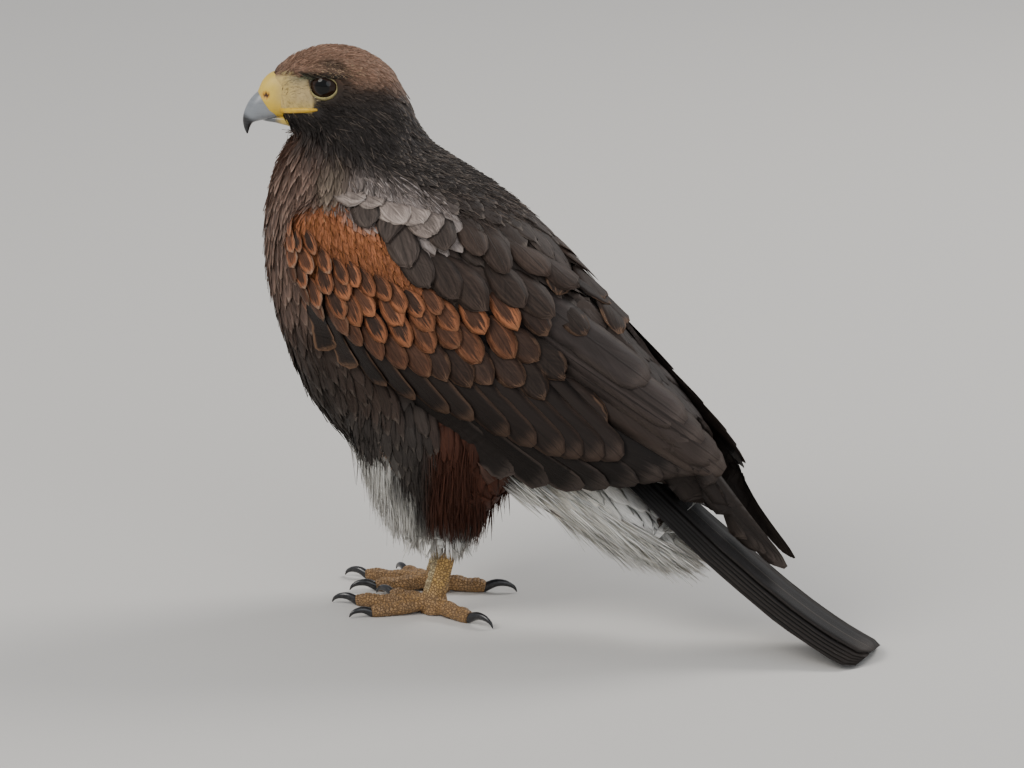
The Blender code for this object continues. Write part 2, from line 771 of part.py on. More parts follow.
def limb(name, points, radii, sides, collection):
    """A round limb along a path, from a curve with a radius at each point."""
    curve = bpy.data.curves.new(name, "CURVE")
    curve.dimensions = "3D"
    curve.bevel_depth = MM
    curve.bevel_resolution = (sides - 4) // 2
    curve.use_fill_caps = True
    spline = curve.splines.new("POLY")
    spline.points.add(len(points) - 1)
    for place, point, radius in zip(spline.points, metres(points), radii):
        place.co = (*point, 1)
        place.radius = radius
    tube = bpy.data.objects.new(name + "_path", curve)
    collection.objects.link(tube)
    mesh = evaluated_mesh(tube)
    form = bmesh.new()
    form.from_mesh(mesh)
    bmesh.ops.remove_doubles(form, verts=form.verts, dist=1e-6)
    bmesh.ops.recalc_face_normals(form, faces=form.faces)
    form.to_mesh(mesh)
    form.free()
    bpy.data.objects.remove(tube, do_unlink=True)
    return add_object(name, mesh, collection)


def shank_rings(foot):
    """Rings of the bare shank, from the foot up to the trouser: scutes step its front."""
    rings = []
    for step in range(2 * SCUTES + 1):
        rise = SHANK_FOOT + (SHANK_TOP - SHANK_FOOT) * step / (2 * SCUTES)
        tooth = 0.55 if step % 2 == 0 else 0.0
        radius = 5.2 + 1.3 * (1 - step / (2 * SCUTES)) ** 4 + 0.015 * rise
        x = foot[0] + ANKLE_BACK * rise / ANKLE_RISE
        rings.append(shank_ring(x, foot[1], rise, radius, tooth))
    return rings


def shank_ring(x, y, z, radius, tooth):
    ring = []
    for step in range(10):
        angle = 2 * math.pi * step / 10
        back = math.cos(angle)
        reach = radius + tooth * max(-back, 0) ** 0.5
        ring.append((x + 1.08 * reach * back, y + 0.86 * reach * math.sin(angle), z))
    return ring


def toe_path(foot, toe, mirror):
    """Points along one toe, its radii there, and the heading of its end."""
    _, bearing, length, thick, thin, _ = toe
    angle = math.radians(bearing) * mirror
    heading = np.array([-math.cos(angle), -math.sin(angle), 0.0])
    points, radii = [], []
    for share, fat in ((0.0, 1.0), (0.28, 0.92), (0.48, 1.05), (0.66, 0.9), (0.85, 1.02), (1.0, 0.8)):
        radius = (thick + (thin - thick) * share) * fat
        height = radius * 0.86 + 3.5 * (1 - share) ** 3
        points.append((foot[0] + heading[0] * length * share, foot[1] + heading[1] * length * share, height))
        radii.append(radius)
    return points, radii, heading


def claw(name, start, heading, length, radius, collection):
    """A curved, tapering claw whose point comes down to the floor."""
    steps = 5
    points, radii = [np.array(start, float)], [radius]
    for step in range(steps):
        share = step / (steps - 1)
        pitch = math.radians(40 - 112 * share) if step else 0.0
        stride = length / steps if step else 0.8
        points.append(points[-1] + (heading * math.cos(pitch) + np.array([0, 0, math.sin(pitch)])) * stride)
        radii.append(radius * (1 - share**1.4) + 0.3)
    drop = points[-1][2] - 0.6
    sunk = [(x, y, z - drop * (k / steps) ** 2) for k, (x, y, z) in enumerate(points)]
    sunk[1] = tuple(points[1])
    return limb(name, sunk, radii, 6, collection)


def build_leg(side_name, foot, mirror, bird, tools):
    """Shank, foot and four claws of one leg."""
    shank = loft(f"shank_{side_name}", shank_rings(foot), bird)
    floor = slab("floor", (-200, -200, -60), (400, 200, 0), tools)
    toes, claws = [], []
    for toe in TOES:
        points, radii, heading = toe_path(foot, toe, mirror)
        toes.append(limb(f"toe_{toe[0]}", points, radii, 8, tools))
        start = np.array(points[-1]) - heading * 0.8
        claws.append(claw(f"claw_{side_name}_{toe[0]}", start, heading, toe[5], radii[-1] * 0.72, bird))
    ball_line = [(foot[0] + 2.5, foot[1], rise) for rise in (0.5, 7.0, SHANK_FOOT - GAP)]
    ball = limb("ball", ball_line, (7.4, 7.6, 6.6), 10, bird)
    whole = fuse(f"foot_{side_name}", [ball, *toes], bird)
    cut_away(whole, floor)
    for nail in claws:
        cut_away(nail, grown(whole, GAP, tools), "MANIFOLD")
    return shank, whole, claws


def paint(objects, name, colour, roughness):
    """One plain finish for a group of nodes."""
    material = bpy.data.materials.new(name)
    material.use_nodes = True
    shader = material.node_tree.nodes["Principled BSDF"]
    shader.inputs["Base Color"].default_value = (*colour, 1)
    shader.inputs["Roughness"].default_value = roughness
    for obj in objects:
        obj.data.materials.clear()
        obj.data.materials.append(material)


def main():
    clear_scene()
    bird, tools = make_collections()
    parts, eyes = build_head_and_trunk(bird, tools)
    face = build_face(parts, bird, tools)
    torso = parts["torso"]
    tail = build_tail(torso, bird, tools)
    undertail = build_undertail(torso, tail, bird, tools)
    wing = build_wing(torso, bird, tools)
    for other in (torso, parts["neck"], tail):
        cut_away(wing, grown(other, 1.5 * GAP, tools), "MANIFOLD")
    wing_right = mirrored(wing, "wing_right", bird)
    legs, thighs = {}, {}
    for side_name, foot, mirror in (("left", LEFT_FOOT, 1), ("right", RIGHT_FOOT, -1)):
        thigh = build_thigh(f"thigh_{side_name}", foot, [torso, wing, wing_right, undertail], bird, tools)
        legs[side_name] = build_leg(side_name, foot, mirror, bird, tools)
        thighs[side_name] = thigh
    dark = [parts["neck"], parts["head"], torso, wing, wing_right, tail, *thighs.values()]
    paint(dark, "dark_plumage", (0.045, 0.03, 0.022), 0.75)
    paint([undertail], "white_plumage", (0.72, 0.68, 0.6), 0.85)
    paint([face["cere"]], "yellow_skin", (0.72, 0.52, 0.10), 0.5)
    paint([face["bill_upper"], face["bill_lower"]], "bill_horn", (0.16, 0.18, 0.2), 0.35)
    paint(list(eyes.values()), "eye", (0.03, 0.015, 0.008), 0.08)
    for shank, foot, claws in legs.values():
        paint([shank, foot], "leg_skin", (0.6, 0.38, 0.1), 0.55)
        paint(claws, "claw_horn", (0.02, 0.02, 0.022), 0.3)


if __name__ == "__main__":
    main()
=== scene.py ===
"""Feathers, skin, eyes, bill and feet of a standing Harris's hawk, life size.

The bird faces -X, its left side is towards -Y and +Z is up. Sizes are in the
bird's own millimetres until metres() turns them into Blender's unit.
"""

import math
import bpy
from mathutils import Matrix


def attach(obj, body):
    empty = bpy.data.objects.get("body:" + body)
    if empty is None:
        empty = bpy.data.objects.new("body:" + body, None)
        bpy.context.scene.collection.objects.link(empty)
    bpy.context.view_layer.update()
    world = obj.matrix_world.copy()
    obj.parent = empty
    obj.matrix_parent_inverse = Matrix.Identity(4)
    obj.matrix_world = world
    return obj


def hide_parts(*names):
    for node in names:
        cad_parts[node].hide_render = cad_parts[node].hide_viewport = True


bl_info = {
    "name": "Harris's Hawk Dresser",
    "version": (1, 0, 0),
    "blender": (4, 5, 0),
    "location": "View3D > Sidebar > Hawk",
    "description": "Dresses the packed hawk with skin, feathers, eyes, bill and feet",
    "category": "Object",
}

import bpy
import bmesh
import numpy as np
from mathutils import Matrix, Vector, noise
from mathutils.bvhtree import BVHTree
from mathutils.kdtree import KDTree

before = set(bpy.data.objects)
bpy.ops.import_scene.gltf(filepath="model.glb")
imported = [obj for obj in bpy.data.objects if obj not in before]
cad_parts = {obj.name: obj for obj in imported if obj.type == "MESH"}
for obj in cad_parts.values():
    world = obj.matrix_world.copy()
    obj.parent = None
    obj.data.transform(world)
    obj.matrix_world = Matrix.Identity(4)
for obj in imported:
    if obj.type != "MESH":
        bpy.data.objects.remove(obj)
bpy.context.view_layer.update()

# Metres
MM = 0.001
SKIN_VOXEL = 0.0017
LEG_VOXEL = 0.0005

# The bird's own millimetres. Roots above HEAD_FLOOR are the head's, and those
# within WING_REACH of a wing's form are the wing's
HEAD_FLOOR = 262
FACE_FLOOR = 265
WING_REACH = 9
BOX_CENTRE = np.array([76.316, 0.0, 0.0])
HEAD_CENTRE = np.array([-59.5, 0.0, 288.0])
HEAD_TURN = math.radians(22)
EYE_CENTRE = (-10.2, 13.9, 11.6)
EYE_RADIUS = 9.6
EYE_AIM = math.radians(12)
LEFT_FOOT = (6.0, -21.0)
RIGHT_FOOT = (-10.0, 21.0)
TAIL_HALF_WIDTH = 28.5

# Bill and cere: dorsal x and z, ventral x and z, half width, waist, fullness
FACE = (
    (-49.3, 4.6, -39.0, -10.2, 7.4, 0.55, 2.2),
    (-46.5, 11.0, -36.0, -10.0, 8.4, 0.58, 2.2),
    (-41.5, 15.6, -31, -10.2, 9.6, 0.60, 2.2),
    (-36, 16.0, -27.5, -10.2, 10.6, 0.60, 2.2),
    (-31, 14.5, -24, -9.4, 10.6, 0.60, 2.2),
    (-28.5, 12.6, -23, -8.2, 9.0, 0.60, 2.2),
)
UPPER_BILL = (
    (-47.6, 4.9, -37.6, -10.4, 7.0, 0.60, 2.2),
    (-49.3, 4.4, -39.0, -10.8, 7.2, 0.60, 2.2),
    (-53.6, -0.2, -43.5, -11.6, 6.8, 0.60, 2.1),
    (-56.6, -6.0, -48.0, -12.4, 5.4, 0.60, 2.0),
    (-57.8, -11.6, -51.8, -13.6, 3.7, 0.60, 2.0),
    (-57.2, -16.4, -53.6, -16.2, 2.0, 0.60, 2.0),
    (-55.6, -20.2, -54.8, -20.0, 0.5, 0.60, 2.0),
)
LOWER_BILL = (
    (-27.0, -8.0, -27.0, -16.2, 9.0, 0.45, 2.2),
    (-34.0, -8.2, -34.0, -14.6, 7.6, 0.45, 2.2),
    (-39.0, -8.6, -39.0, -13.4, 6.0, 0.45, 2.2),
    (-43.5, -9.6, -43.5, -12.9, 3.9, 0.45, 2.0),
    (-46.6, -11.0, -46.4, -12.3, 1.0, 0.45, 2.0),
)
GAPE_LINE = ((-37.5, -5.4), (-33, -4.2), (-27, -3.2), (-20, -2.4), (-14.8, -1.9))
GAPE_RADII = (1.6, 1.7, 1.55, 1.35, 0.8)
NOSTRIL = (-44.6, 8.6, 3.4)

# Core under the white undertail coverts, with the same seven sizes
UNDERTAIL_CORE = (
    (84, 106, 46, 80, 22, 0.50, 2.1),
    (98, 100, 66, 66, 25, 0.50, 2.1),
    (116, 87, 90, 54, 23, 0.50, 2.1),
    (132, 73, 114, 49, 17, 0.50, 2.0),
    (144, 61, 133, 48, 9, 0.50, 2.0),
)

# Stations of the folded wing, from the wrist back to the primaries' tips:
# upper edge x, y, z, lower edge x, y, z, bulge (the left wing)
WING = np.array((
    (-70, -44, 230, -76, -46, 212, 8),
    (-58, -46, 241, -68, -50, 188, 16),
    (-34, -45, 245, -48, -51, 165, 20),
    (0, -42, 240, -23, -50, 143, 24),
    (29, -34, 232, 12, -48, 125, 27),
    (56, -22, 221, 48, -45, 111, 28),
    (84, -10, 203, 82, -39, 94, 27),
    (112, -5, 179, 110, -34, 86, 23),
    (138, -4, 154, 138, -31, 89, 17),
    (160, -3, 133, 160, -27, 96, 11),
    (178, -3, 112, 174, -22, 96, 7),
    (197, -4, 84, 188, -17, 68, 4),
    (217, -5, 58, 206, -13, 46, 3),
), float)

# The tail's upper line seen from the side, x and z from root to tip
TAIL_LINE = np.array((
    (60, 148), (82, 131), (105, 113), (135, 90.5),
    (172, 62.5), (211, 35), (242, 17.0), (266, 6.68),
))

# Each toe: name, bearing from straight ahead, length, radius at root and end,
# and the length of its claw
TOES = (
    ("inner", -27, 33, 4.8, 4.0, 26),
    ("middle", 6, 44, 4.9, 3.9, 25),
    ("outer", 40, 35, 4.5, 3.6, 22),
    ("hind", 160, 30, 4.9, 4.2, 31),
)

# Where each chain of random draws starts. Sides and numbered pieces add their own
BODY_SEED, BODY_ROOT_SEED, BODY_LUCK_SEED = 5, 11, 100
WISP_SEED, WISP_ROOT_SEED, WISP_LUCK_SEED, CLUMP_SEED = 300, 500, 520, 23
COVERT_SEED, COVERT_LUCK_SEED = 40, 60
FLIGHT_SEED, FLIGHT_LUCK_SEED = 70, 80
TAIL_SEED, TAIL_LUCK_SEED = 90, 91
RIDGE_SEED, TAIL_COVERT_SEED = 401, 402

# How the coat lies. Each guide: place x, y, z, heading x, y, z, then the
# feathers' length, width, lift at the tip, and how pointed they are
HEAD_GUIDES = (
    (-36, 0, 22, 0.9, 0, 0.45, 5.0, 2.2, 0.6, 0.5),
    (-20, 0, 30, 1, 0, 0.15, 6.5, 2.6, 0.7, 0.5),
    (0, 0, 32, 1, 0, -0.05, 8, 3.0, 0.9, 0.5),
    (22, 0, 24, 0.8, 0, -0.6, 11, 4.0, 1.3, 0.6),
    (36, 0, 4, 0.35, 0, -0.95, 16, 5.0, 2.8, 0.9),
    (-26, 16, 20, 1, 0.05, 0.1, 4.5, 1.9, 0.5, 0.5),
    (-8, 22, 20, 1, 0, -0.05, 5.5, 2.3, 0.6, 0.5),
    (10, 24, 12, 0.95, 0, -0.35, 8, 3.0, 0.9, 0.6),
    (6, 26, -2, 0.85, 0, -0.55, 8, 2.8, 0.8, 0.7),
    (-12, 22, -2, 0.95, 0.1, -0.3, 4, 1.8, 0.4, 0.7),
    (-14, 21, -12, 0.75, 0.1, -0.65, 6, 2.3, 0.6, 0.8),
    (12, 25, -16, 0.5, 0, -0.86, 11, 3.6, 1.2, 0.9),
    (28, 20, -10, 0.4, 0, -0.92, 14, 4.6, 2.2, 0.9),
    (-32, 0, -17, 0.6, 0, -0.8, 6, 1.8, 0.7, 1),
    (-14, 0, -29, 0.25, 0, -0.97, 10, 2.8, 1.4, 1),
    (-12, 16, -26, 0.4, 0.1, -0.9, 9, 2.8, 1.2, 1),
)
BODY_GUIDES = (
    (-88, 0, 268, 0, 0, -1, 18, 6, 2.2, 0.8),
    (-50, 32, 264, 0.2, 0.15, -0.96, 18, 6.5, 2.0, 0.8),
    (-14, 0, 276, 0.5, 0, -0.85, 22, 8, 2.0, 0.6),
    (-30, 34, 258, 0.5, 0.2, -0.84, 22, 8, 2.0, 0.6),
    (-101, 0, 240, 0.05, 0, -1, 25, 10.5, 2.3, 0.5),
    (-92, 30, 238, 0.1, 0.05, -1, 23, 9.5, 2.1, 0.5),
    (-104, 0, 205, 0.1, 0, -1, 28, 12, 2.3, 0.4),
    (-88, 40, 200, 0.15, 0, -1, 26, 11, 2.1, 0.4),
    (-98, 0, 165, 0.25, 0, -0.97, 30, 13, 2.3, 0.4),
    (-75, 42, 150, 0.35, 0, -0.93, 28, 12, 2.2, 0.4),
    (-78, 0, 118, 0.5, 0, -0.86, 29, 12, 2.2, 0.5),
    (-35, 0, 82, 0.85, 0, -0.5, 28, 10, 2.4, 0.6),
    (30, 0, 76, 0.95, 0, -0.3, 32, 11, 2.4, 0.6),
    (-20, 50, 135, 0.4, 0, -0.9, 27, 11, 2.0, 0.5),
    (18, 0, 252, 0.7, 0, -0.7, 29, 14, 2.2, 0.3),
    (40, 20, 238, 0.7, 0.05, -0.7, 31, 16, 2.4, 0.3),
    (70, 0, 215, 0.75, 0, -0.66, 33, 16, 2.4, 0.3),
    (94, 0, 172, 0.7, 0, -0.7, 33, 15, 2.4, 0.3),
    (125, 0, 122, 0.8, 0, -0.6, 38, 14, 2.2, 0.4),
    (-20, 46, 118, 0.15, 0, -1, 23, 8, 1.8, 0.6),
    (30, 46, 110, 0.1, 0, -1, 23, 8, 1.8, 0.6),
    (-12, 36, 78, 0.2, 0, -1, 21, 5, 2.0, 0.9),
    (20, 34, 74, 0.05, 0, -1, 21, 5, 2.0, 0.9),
    (8, 30, 54, 0.05, 0, -1, 19, 3.2, 2.2, 1),
    (5, 8, 80, 0.1, 0, -1, 20, 5, 2.0, 0.9),
    (70, 20, 72, 0.9, 0.05, -0.42, 36, 9, 2.6, 0.8),
    (110, 15, 55, 0.88, 0.05, -0.46, 38, 9, 2.6, 0.8),
    (138, 6, 52, 0.85, 0, -0.5, 32, 8, 2.4, 0.8),
    (-74, 47, 222, 0.1, 0.25, -0.96, 10, 4.6, 1.0, 0.7),
    (-55, 58, 225, 0.42, 0.1, -0.9, 11, 4.2, 1.1, 0.9),
    (-20, 62, 220, 0.52, 0, -0.85, 12, 4.4, 1.1, 0.9),
    (15, 60, 188, 0.58, 0, -0.8, 15, 6.2, 1.3, 0.8),
    (-50, 60, 200, 0.45, 0.05, -0.88, 14, 8.0, 1.4, 0.4),
    (-30, 62, 196, 0.5, 0, -0.86, 15, 9.0, 1.5, 0.4),
    (0, 48, 245, 0.62, 0.1, -0.77, 25, 13, 2.8, 0.3),
    (45, 42, 228, 0.68, 0.05, -0.73, 30, 16, 3.0, 0.3),
    (80, 28, 200, 0.72, 0, -0.69, 32, 17, 3.0, 0.3),
)

# Rows of covert feathers on the wing: tips x, z from front to back, how many,
# then length, width and angle under the level at both ends of the row, and
# the lift at root and tip
COVERT_ROWS = (
    ("rear_greater", ((92, 123), (112, 122), (128, 137)),
     4, (40, 44), (19, 20), (44, 40), (-3.0, -0.2)),
    ("median_lower",
     ((-60, 192), (-47, 177), (-33, 169), (-10, 160), (18, 153), (44, 150), (66, 148), (84, 143)),
     13, (20, 30), (12.5, 17), (60, 48), (-2.0, 0.5)),
    ("median_middle",
     ((-63, 204), (-50, 188), (-34, 180), (-12, 172), (14, 166), (42, 163), (66, 164), (92, 156)),
     13, (18, 28), (11, 16.5), (60, 48), (-1.7, 0.8)),
    ("median_upper",
     ((-62, 214), (-48, 200), (-32, 191), (-12, 184), (10, 179), (40, 177), (68, 180), (98, 172)),
     12, (16, 27), (10, 16.5), (60, 47), (-1.4, 1.0)),
    ("median_lesser", ((-63, 223), (-50, 210), (-34, 201), (-14, 194), (8, 188), (28, 185)),
     11, (13, 20), (8.0, 12.5), (60, 50), (-1.2, 1.3)),
    ("rear_median", ((84, 192), (100, 186), (112, 176)),
     3, (26, 28), (17, 18), (46, 44), (-1.4, 1.2)),
    ("scapular_lower",
     ((-29, 239), (-20, 233), (-8, 222), (5, 212), (21, 199), (40, 193), (60, 190), (80, 186)),
     9, (23, 36), (15, 21), (60, 46), (-1.0, 1.7)),
    ("scapular_upper",
     ((-28, 245), (-12, 240), (6, 231), (22, 221), (42, 212), (64, 205), (88, 196)),
     9, (22, 36), (14, 20), (52, 46), (-0.8, 2.2)),
    ("scapular_cap", ((-26, 244), (-19, 242), (-10, 239), (4, 234), (18, 227)),
     6, (22, 28), (18, 21), (22, 36), (-0.2, 2.2)),
)

# Flight feathers: how many, first and last root and tip as (station, share),
# width, lift at root and tip, how far the line of tips bows, and the skew of the shaft
FLIGHT_TIERS = (
    ("primaries", 8, (8.2, 0.66), (8.0, 0.22), (11.1, 0.92), (12.1, 0.36), 15, (-5.6, -2.8), 0.0, 0.35),
    ("secondaries", 12, (3.2, 0.84), (6.6, 0.38), (5.4, 1.05), (10.15, 0.62), 23, (-4.8, -1.2), 0.8, 0.2),
    ("greater_coverts", 12, (1.4, 0.74), (5.0, 0.38), (2.2, 1.04), (7.6, 0.68), 20, (-3.4, -0.2), 0.3, 0.1),
    ("tertials", 5, (5.8, 0.34), (4.6, 0.10), (10.1, 0.42), (7.7, 0.14), 25, (-2.8, 0.7), 0.3, 0.08),
)

# Colours of the plumage, linear
BROWN = np.array((0.046, 0.0305, 0.0235))
SOOTY = np.array((0.0185, 0.0138, 0.0115))
RUFOUS = np.array((0.37, 0.138, 0.062))
# The trousers' chestnut, darkened further as painted shade for where they lie under the body and wings
SHADED_CHESTNUT = np.array((0.052, 0.0175, 0.0095))
PALE = np.array((0.42, 0.35, 0.29))
CREAM = np.array((0.70, 0.66, 0.58))
WHITE = np.array((0.80, 0.79, 0.76))
# Painted reflection: the pale grey sheen of skylight on the upper faces of scapulars and shoulder, painted as
# a colour
SKY_SHEEN = np.array((0.44, 0.36, 0.315))


def metres(points):
    return (np.asarray(points, float) - BOX_CENTRE) * MM


def millimetres(points):
    return np.asarray(points, float) / MM + BOX_CENTRE


def smooth_step(value, low=0.0, high=1.0):
    """0 under low and 1 over high, with a soft rise between."""
    share = np.clip((np.asarray(value, float) - low) / (high - low), 0, 1)
    return share * share * (3 - 2 * share)


def smooth_fall(value, low, high):
    """1 under low and 0 over high, with a soft fall between."""
    return 1 - smooth_step(value, low, high)


def row_at(rows, place):
    """Rows of numbers as a Catmull-Rom curve, at one place or many."""
    rows = np.asarray(rows, float)
    place = np.atleast_1d(np.asarray(place, float))
    last = len(rows) - 1
    index = np.clip(np.floor(place).astype(int), 0, last - 1)
    t = (place - index)[:, None]
    before, start, end, after = (rows[np.clip(index + k, 0, last)] for k in (-1, 0, 1, 2))
    slope_in, slope_out = (end - before) / 2, (after - start) / 2
    curve = (
        start * (2 * t**3 - 3 * t**2 + 1) + slope_in * (t**3 - 2 * t**2 + t)
        + end * (3 * t**2 - 2 * t**3) + slope_out * (t**3 - t**2)
    )
    curve = np.where(t < 0, start + (end - start) * t, curve)
    return np.where(t > 1, end + (end - start) * (t - 1), curve)


def smooth_rows(rows, count):
    return row_at(rows, np.linspace(0, len(rows) - 1, count))


def along_line(points, count):
    """Places spread evenly along a line of points."""
    points = smooth_rows(points, 60)
    steps = np.linalg.norm(np.diff(points, axis=0), axis=1)
    length = np.concatenate([[0], np.cumsum(steps)])
    wanted = np.linspace(0, length[-1], count)
    return np.stack([np.interp(wanted, length, points[:, k]) for k in range(points.shape[1])], axis=1)


def spun(points, angle):
    """Points turned about the upright axis."""
    points = np.asarray(points, float)
    turned = points.copy()
    turned[..., 0] = points[..., 0] * math.cos(angle) - points[..., 1] * math.sin(angle)
    turned[..., 1] = points[..., 0] * math.sin(angle) + points[..., 1] * math.cos(angle)
    return turned


def turn_head(points):
    """Points about the head's centre, turned with the head and put in its place."""
    return spun(points, HEAD_TURN) + HEAD_CENTRE


def head_places(points):
    """Places of the bird as the head's own, unturned."""
    return spun(np.asarray(points, float) - HEAD_CENTRE, -HEAD_TURN)


def one_sided(points):
    """Places of both sides as if they were all on the right."""
    return np.column_stack([points[:, 0], np.abs(points[:, 1]), points[:, 2]])


def neck_height(points):
    """Height over a slanting line from the throat up to the nape."""
    return points[:, 2] + 0.3 * (points[:, 0] + 60)


def side_name(stem, side):
    return f"{stem}_left" if side < 0 else f"{stem}_right"


def repeated(row, count):
    return np.tile(np.array(row, float), (count, 1))


def section_ring(section, around):
    """A closed ring through the dorsal and ventral points of one section."""
    top = np.array([section[0], 0.0, section[1]])
    bottom = np.array([section[2], 0.0, section[3]])
    half_width, waist, fullness = section[4:7]
    centre = top + (bottom - top) * waist
    ring = []
    for step in range(around):
        angle = 2 * math.pi * step / around
        rise = math.copysign(abs(math.cos(angle)) ** (2 / fullness), math.cos(angle))
        side = math.copysign(abs(math.sin(angle)) ** (2 / fullness), math.sin(angle))
        end = top if rise > 0 else bottom
        ring.append(centre + (end - centre) * abs(rise) + np.array([0, half_width * side, 0]))
    return ring


def new_object(name, mesh):
    obj = bpy.data.objects.new(name, mesh)
    bpy.context.scene.collection.objects.link(obj)
    return obj


def skin_over(name, rings, closed):
    """A skin over rings that have the same number of points.

    It ends in caps, or runs on from the last ring to the first if closed.
    """
    form = bmesh.new()
    loops = [[form.verts.new(point) for point in metres(ring)] for ring in rings]
    around = len(loops[0])
    for first, second in zip(loops, loops[1:] + loops[:1] if closed else loops[1:]):
        for k in range(around):
            following = (k + 1) % around
            form.faces.new((first[k], first[following], second[following], second[k]))
    for ring in () if closed else (loops[0], loops[-1]):
        hub = form.verts.new(sum((vertex.co for vertex in ring), Vector()) / around)
        for k in range(around):
            form.faces.new((ring[k], ring[(k + 1) % around], hub))
    bmesh.ops.recalc_face_normals(form, faces=form.faces)
    for face in form.faces:
        face.smooth = True
    mesh = bpy.data.meshes.new(name)
    form.to_mesh(mesh)
    form.free()
    return new_object(name, mesh)


def loft(name, rings):
    return skin_over(name, rings, False)


def sections(name, rows, count, around):
    """A form of the head through smoothed sections."""
    return loft(name, [turn_head(section_ring(row, around)) for row in smooth_rows(rows, count)])


def tube(name, points, radii, around, flat=1.0):
    """A round limb along a path, with a radius at each point."""
    rows = np.column_stack([points, radii])
    rings = []
    for index in range(len(rows)):
        ahead = rows[min(index + 1, len(rows) - 1), :3] - rows[max(index - 1, 0), :3]
        ahead /= np.linalg.norm(ahead)
        side = np.cross(ahead, (0, 0, 1))
        side /= np.linalg.norm(side)
        upward = np.cross(side, ahead)
        angles = np.arange(around) * 2 * math.pi / around
        ring = rows[index, :3] + rows[index, 3] * (
            np.cos(angles)[:, None] * upward + flat * np.sin(angles)[:, None] * side
        )
        rings.append(ring)
    return loft(name, rings)


def select_only(*objects):
    bpy.ops.object.select_all(action="DESELECT")
    for obj in objects:
        obj.select_set(True)
    bpy.context.view_layer.objects.active = objects[0]


def apply_modifier(obj, name, kind, **settings):
    """Adds one modifier and applies it."""
    modifier = obj.modifiers.new(name, kind)
    for key, value in settings.items():
        setattr(modifier, key, value)
    select_only(obj)
    bpy.ops.object.modifier_apply(modifier=modifier.name)


def read(items, name, width, kind=float):
    """One property of many mesh elements, a row for each."""
    values = np.empty(len(items) * width, kind)
    items.foreach_get(name, values)
    return values.reshape(-1, width)


def mesh_points(obj):
    return read(obj.data.vertices, "co", 3)


def mesh_normals(obj):
    return read(obj.data.vertex_normals, "vector", 3)


def place_finder(points):
    """A tree to search for the nearest of many points."""
    finder = KDTree(len(points))
    for index, point in enumerate(points):
        finder.insert(point, index)
    finder.balance()
    return finder


def set_points(obj, points):
    obj.data.vertices.foreach_set("co", np.ascontiguousarray(points, np.float32).ravel())
    obj.data.update()


def set_values(obj, name, values):
    """Numbers at the points of a mesh, for its material to read."""
    attribute = obj.data.attributes.new(name, "FLOAT", "POINT")
    attribute.data.foreach_set("value", values.astype(np.float32))


def set_colours(mesh, name, colours):
    """Colours at the points of a mesh, whose alpha is 1 if not given."""
    if colours.shape[1] == 3:
        colours = np.column_stack([colours, np.ones(len(colours))])
    attribute = mesh.attributes.new(name, "FLOAT_COLOR", "POINT")
    attribute.data.foreach_set("color", colours.astype(np.float32).ravel())


def node_copy(name):
    """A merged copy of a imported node's mesh, for a new piece to start from."""
    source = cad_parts[name]
    copy = new_object(name + "_copy", source.data.copy())
    form = bmesh.new()
    form.from_mesh(copy.data)
    bmesh.ops.remove_doubles(form, verts=form.verts, dist=1e-6)
    form.to_mesh(copy.data)
    form.free()
    return copy


def joined(name, pieces, swell):
    """One object from pieces that are each swollen a little, so that they overlap."""
    for piece in pieces:
        set_points(piece, mesh_points(piece) + mesh_normals(piece) * swell * MM)
    select_only(*pieces)
    bpy.ops.object.join()
    whole = bpy.context.view_layer.objects.active
    whole.name = name
    whole.data.name = name
    whole.data.materials.clear()
    return whole


def mirrored_places(points):
    return np.asarray(points, float) * np.array([1, -1, 1])


def flank(station, share):
    """Points on the outside of the folded left wing."""
    station, share = np.broadcast_arrays(np.atleast_1d(station), np.atleast_1d(share))
    rows = row_at(WING, station.ravel())
    share = share.ravel()[:, None]
    arch = np.sin(math.pi * share) + 0.15 * np.sin(3 * math.pi * share)
    points = rows[:, :3] + (rows[:, 3:6] - rows[:, :3]) * share
    points[:, 1] -= (rows[:, 6:7] * arch)[:, 0]
    return points


FLIGHT_ZONE = 1.30


def flight_zone(station, share):
    """Grows over the wing towards its flight feathers, which start at FLIGHT_ZONE."""
    return station / 6.4 + 1.48 * share


class Surface:
    """A skin to lay feathers on, searched for its nearest point."""

    def __init__(self, points, faces):
        self.tree = BVHTree.FromPolygons([tuple(point) for point in points], faces)

    def nearest(self, point):
        return self.tree.find_nearest(point)[:2]


def flank_surface(side):
    """The wing's outer form as a fine grid that runs on past its edges."""
    stations = np.linspace(-0.3, 12.5, 130)
    shares = np.linspace(-0.12, 1.36, 60)
    grid_s, grid_t = (grid.ravel() for grid in np.meshgrid(stations, shares, indexing="ij"))
    inside = np.clip(grid_t, 0.0, 1.0)
    points = flank(grid_s, inside)
    chord = row_at(WING, grid_s)
    span = chord[:, 3:6] - chord[:, :3]
    past = (grid_t - inside)[:, None]
    over_back = np.array([0.0, 0.97, -0.25]) * np.linalg.norm(span, axis=1)[:, None]
    points += np.where(past > 0, span * np.array([1.0, -0.2, 1.0]) * past, -over_back * past)
    if side > 0:
        points = mirrored_places(points)
    rows, columns = len(stations), len(shares)
    faces = []
    for row in range(rows - 1):
        for column in range(columns - 1):
            a = row * columns + column
            face = (a, a + columns, a + columns + 1, a + 1)
            faces.append(face[::-1] if side < 0 else face)
    surface = Surface(points, faces)
    surface.samples = np.stack([grid_s, grid_t], axis=1)
    surface.points = points
    surface.finder = place_finder(points * (1, 0, 1))
    return surface


def flank_samples(surface, places):
    """Which points of the wing's form lie at x and z, seen from the side."""
    return [surface.finder.find((x, 0, z))[1] for x, z in places]


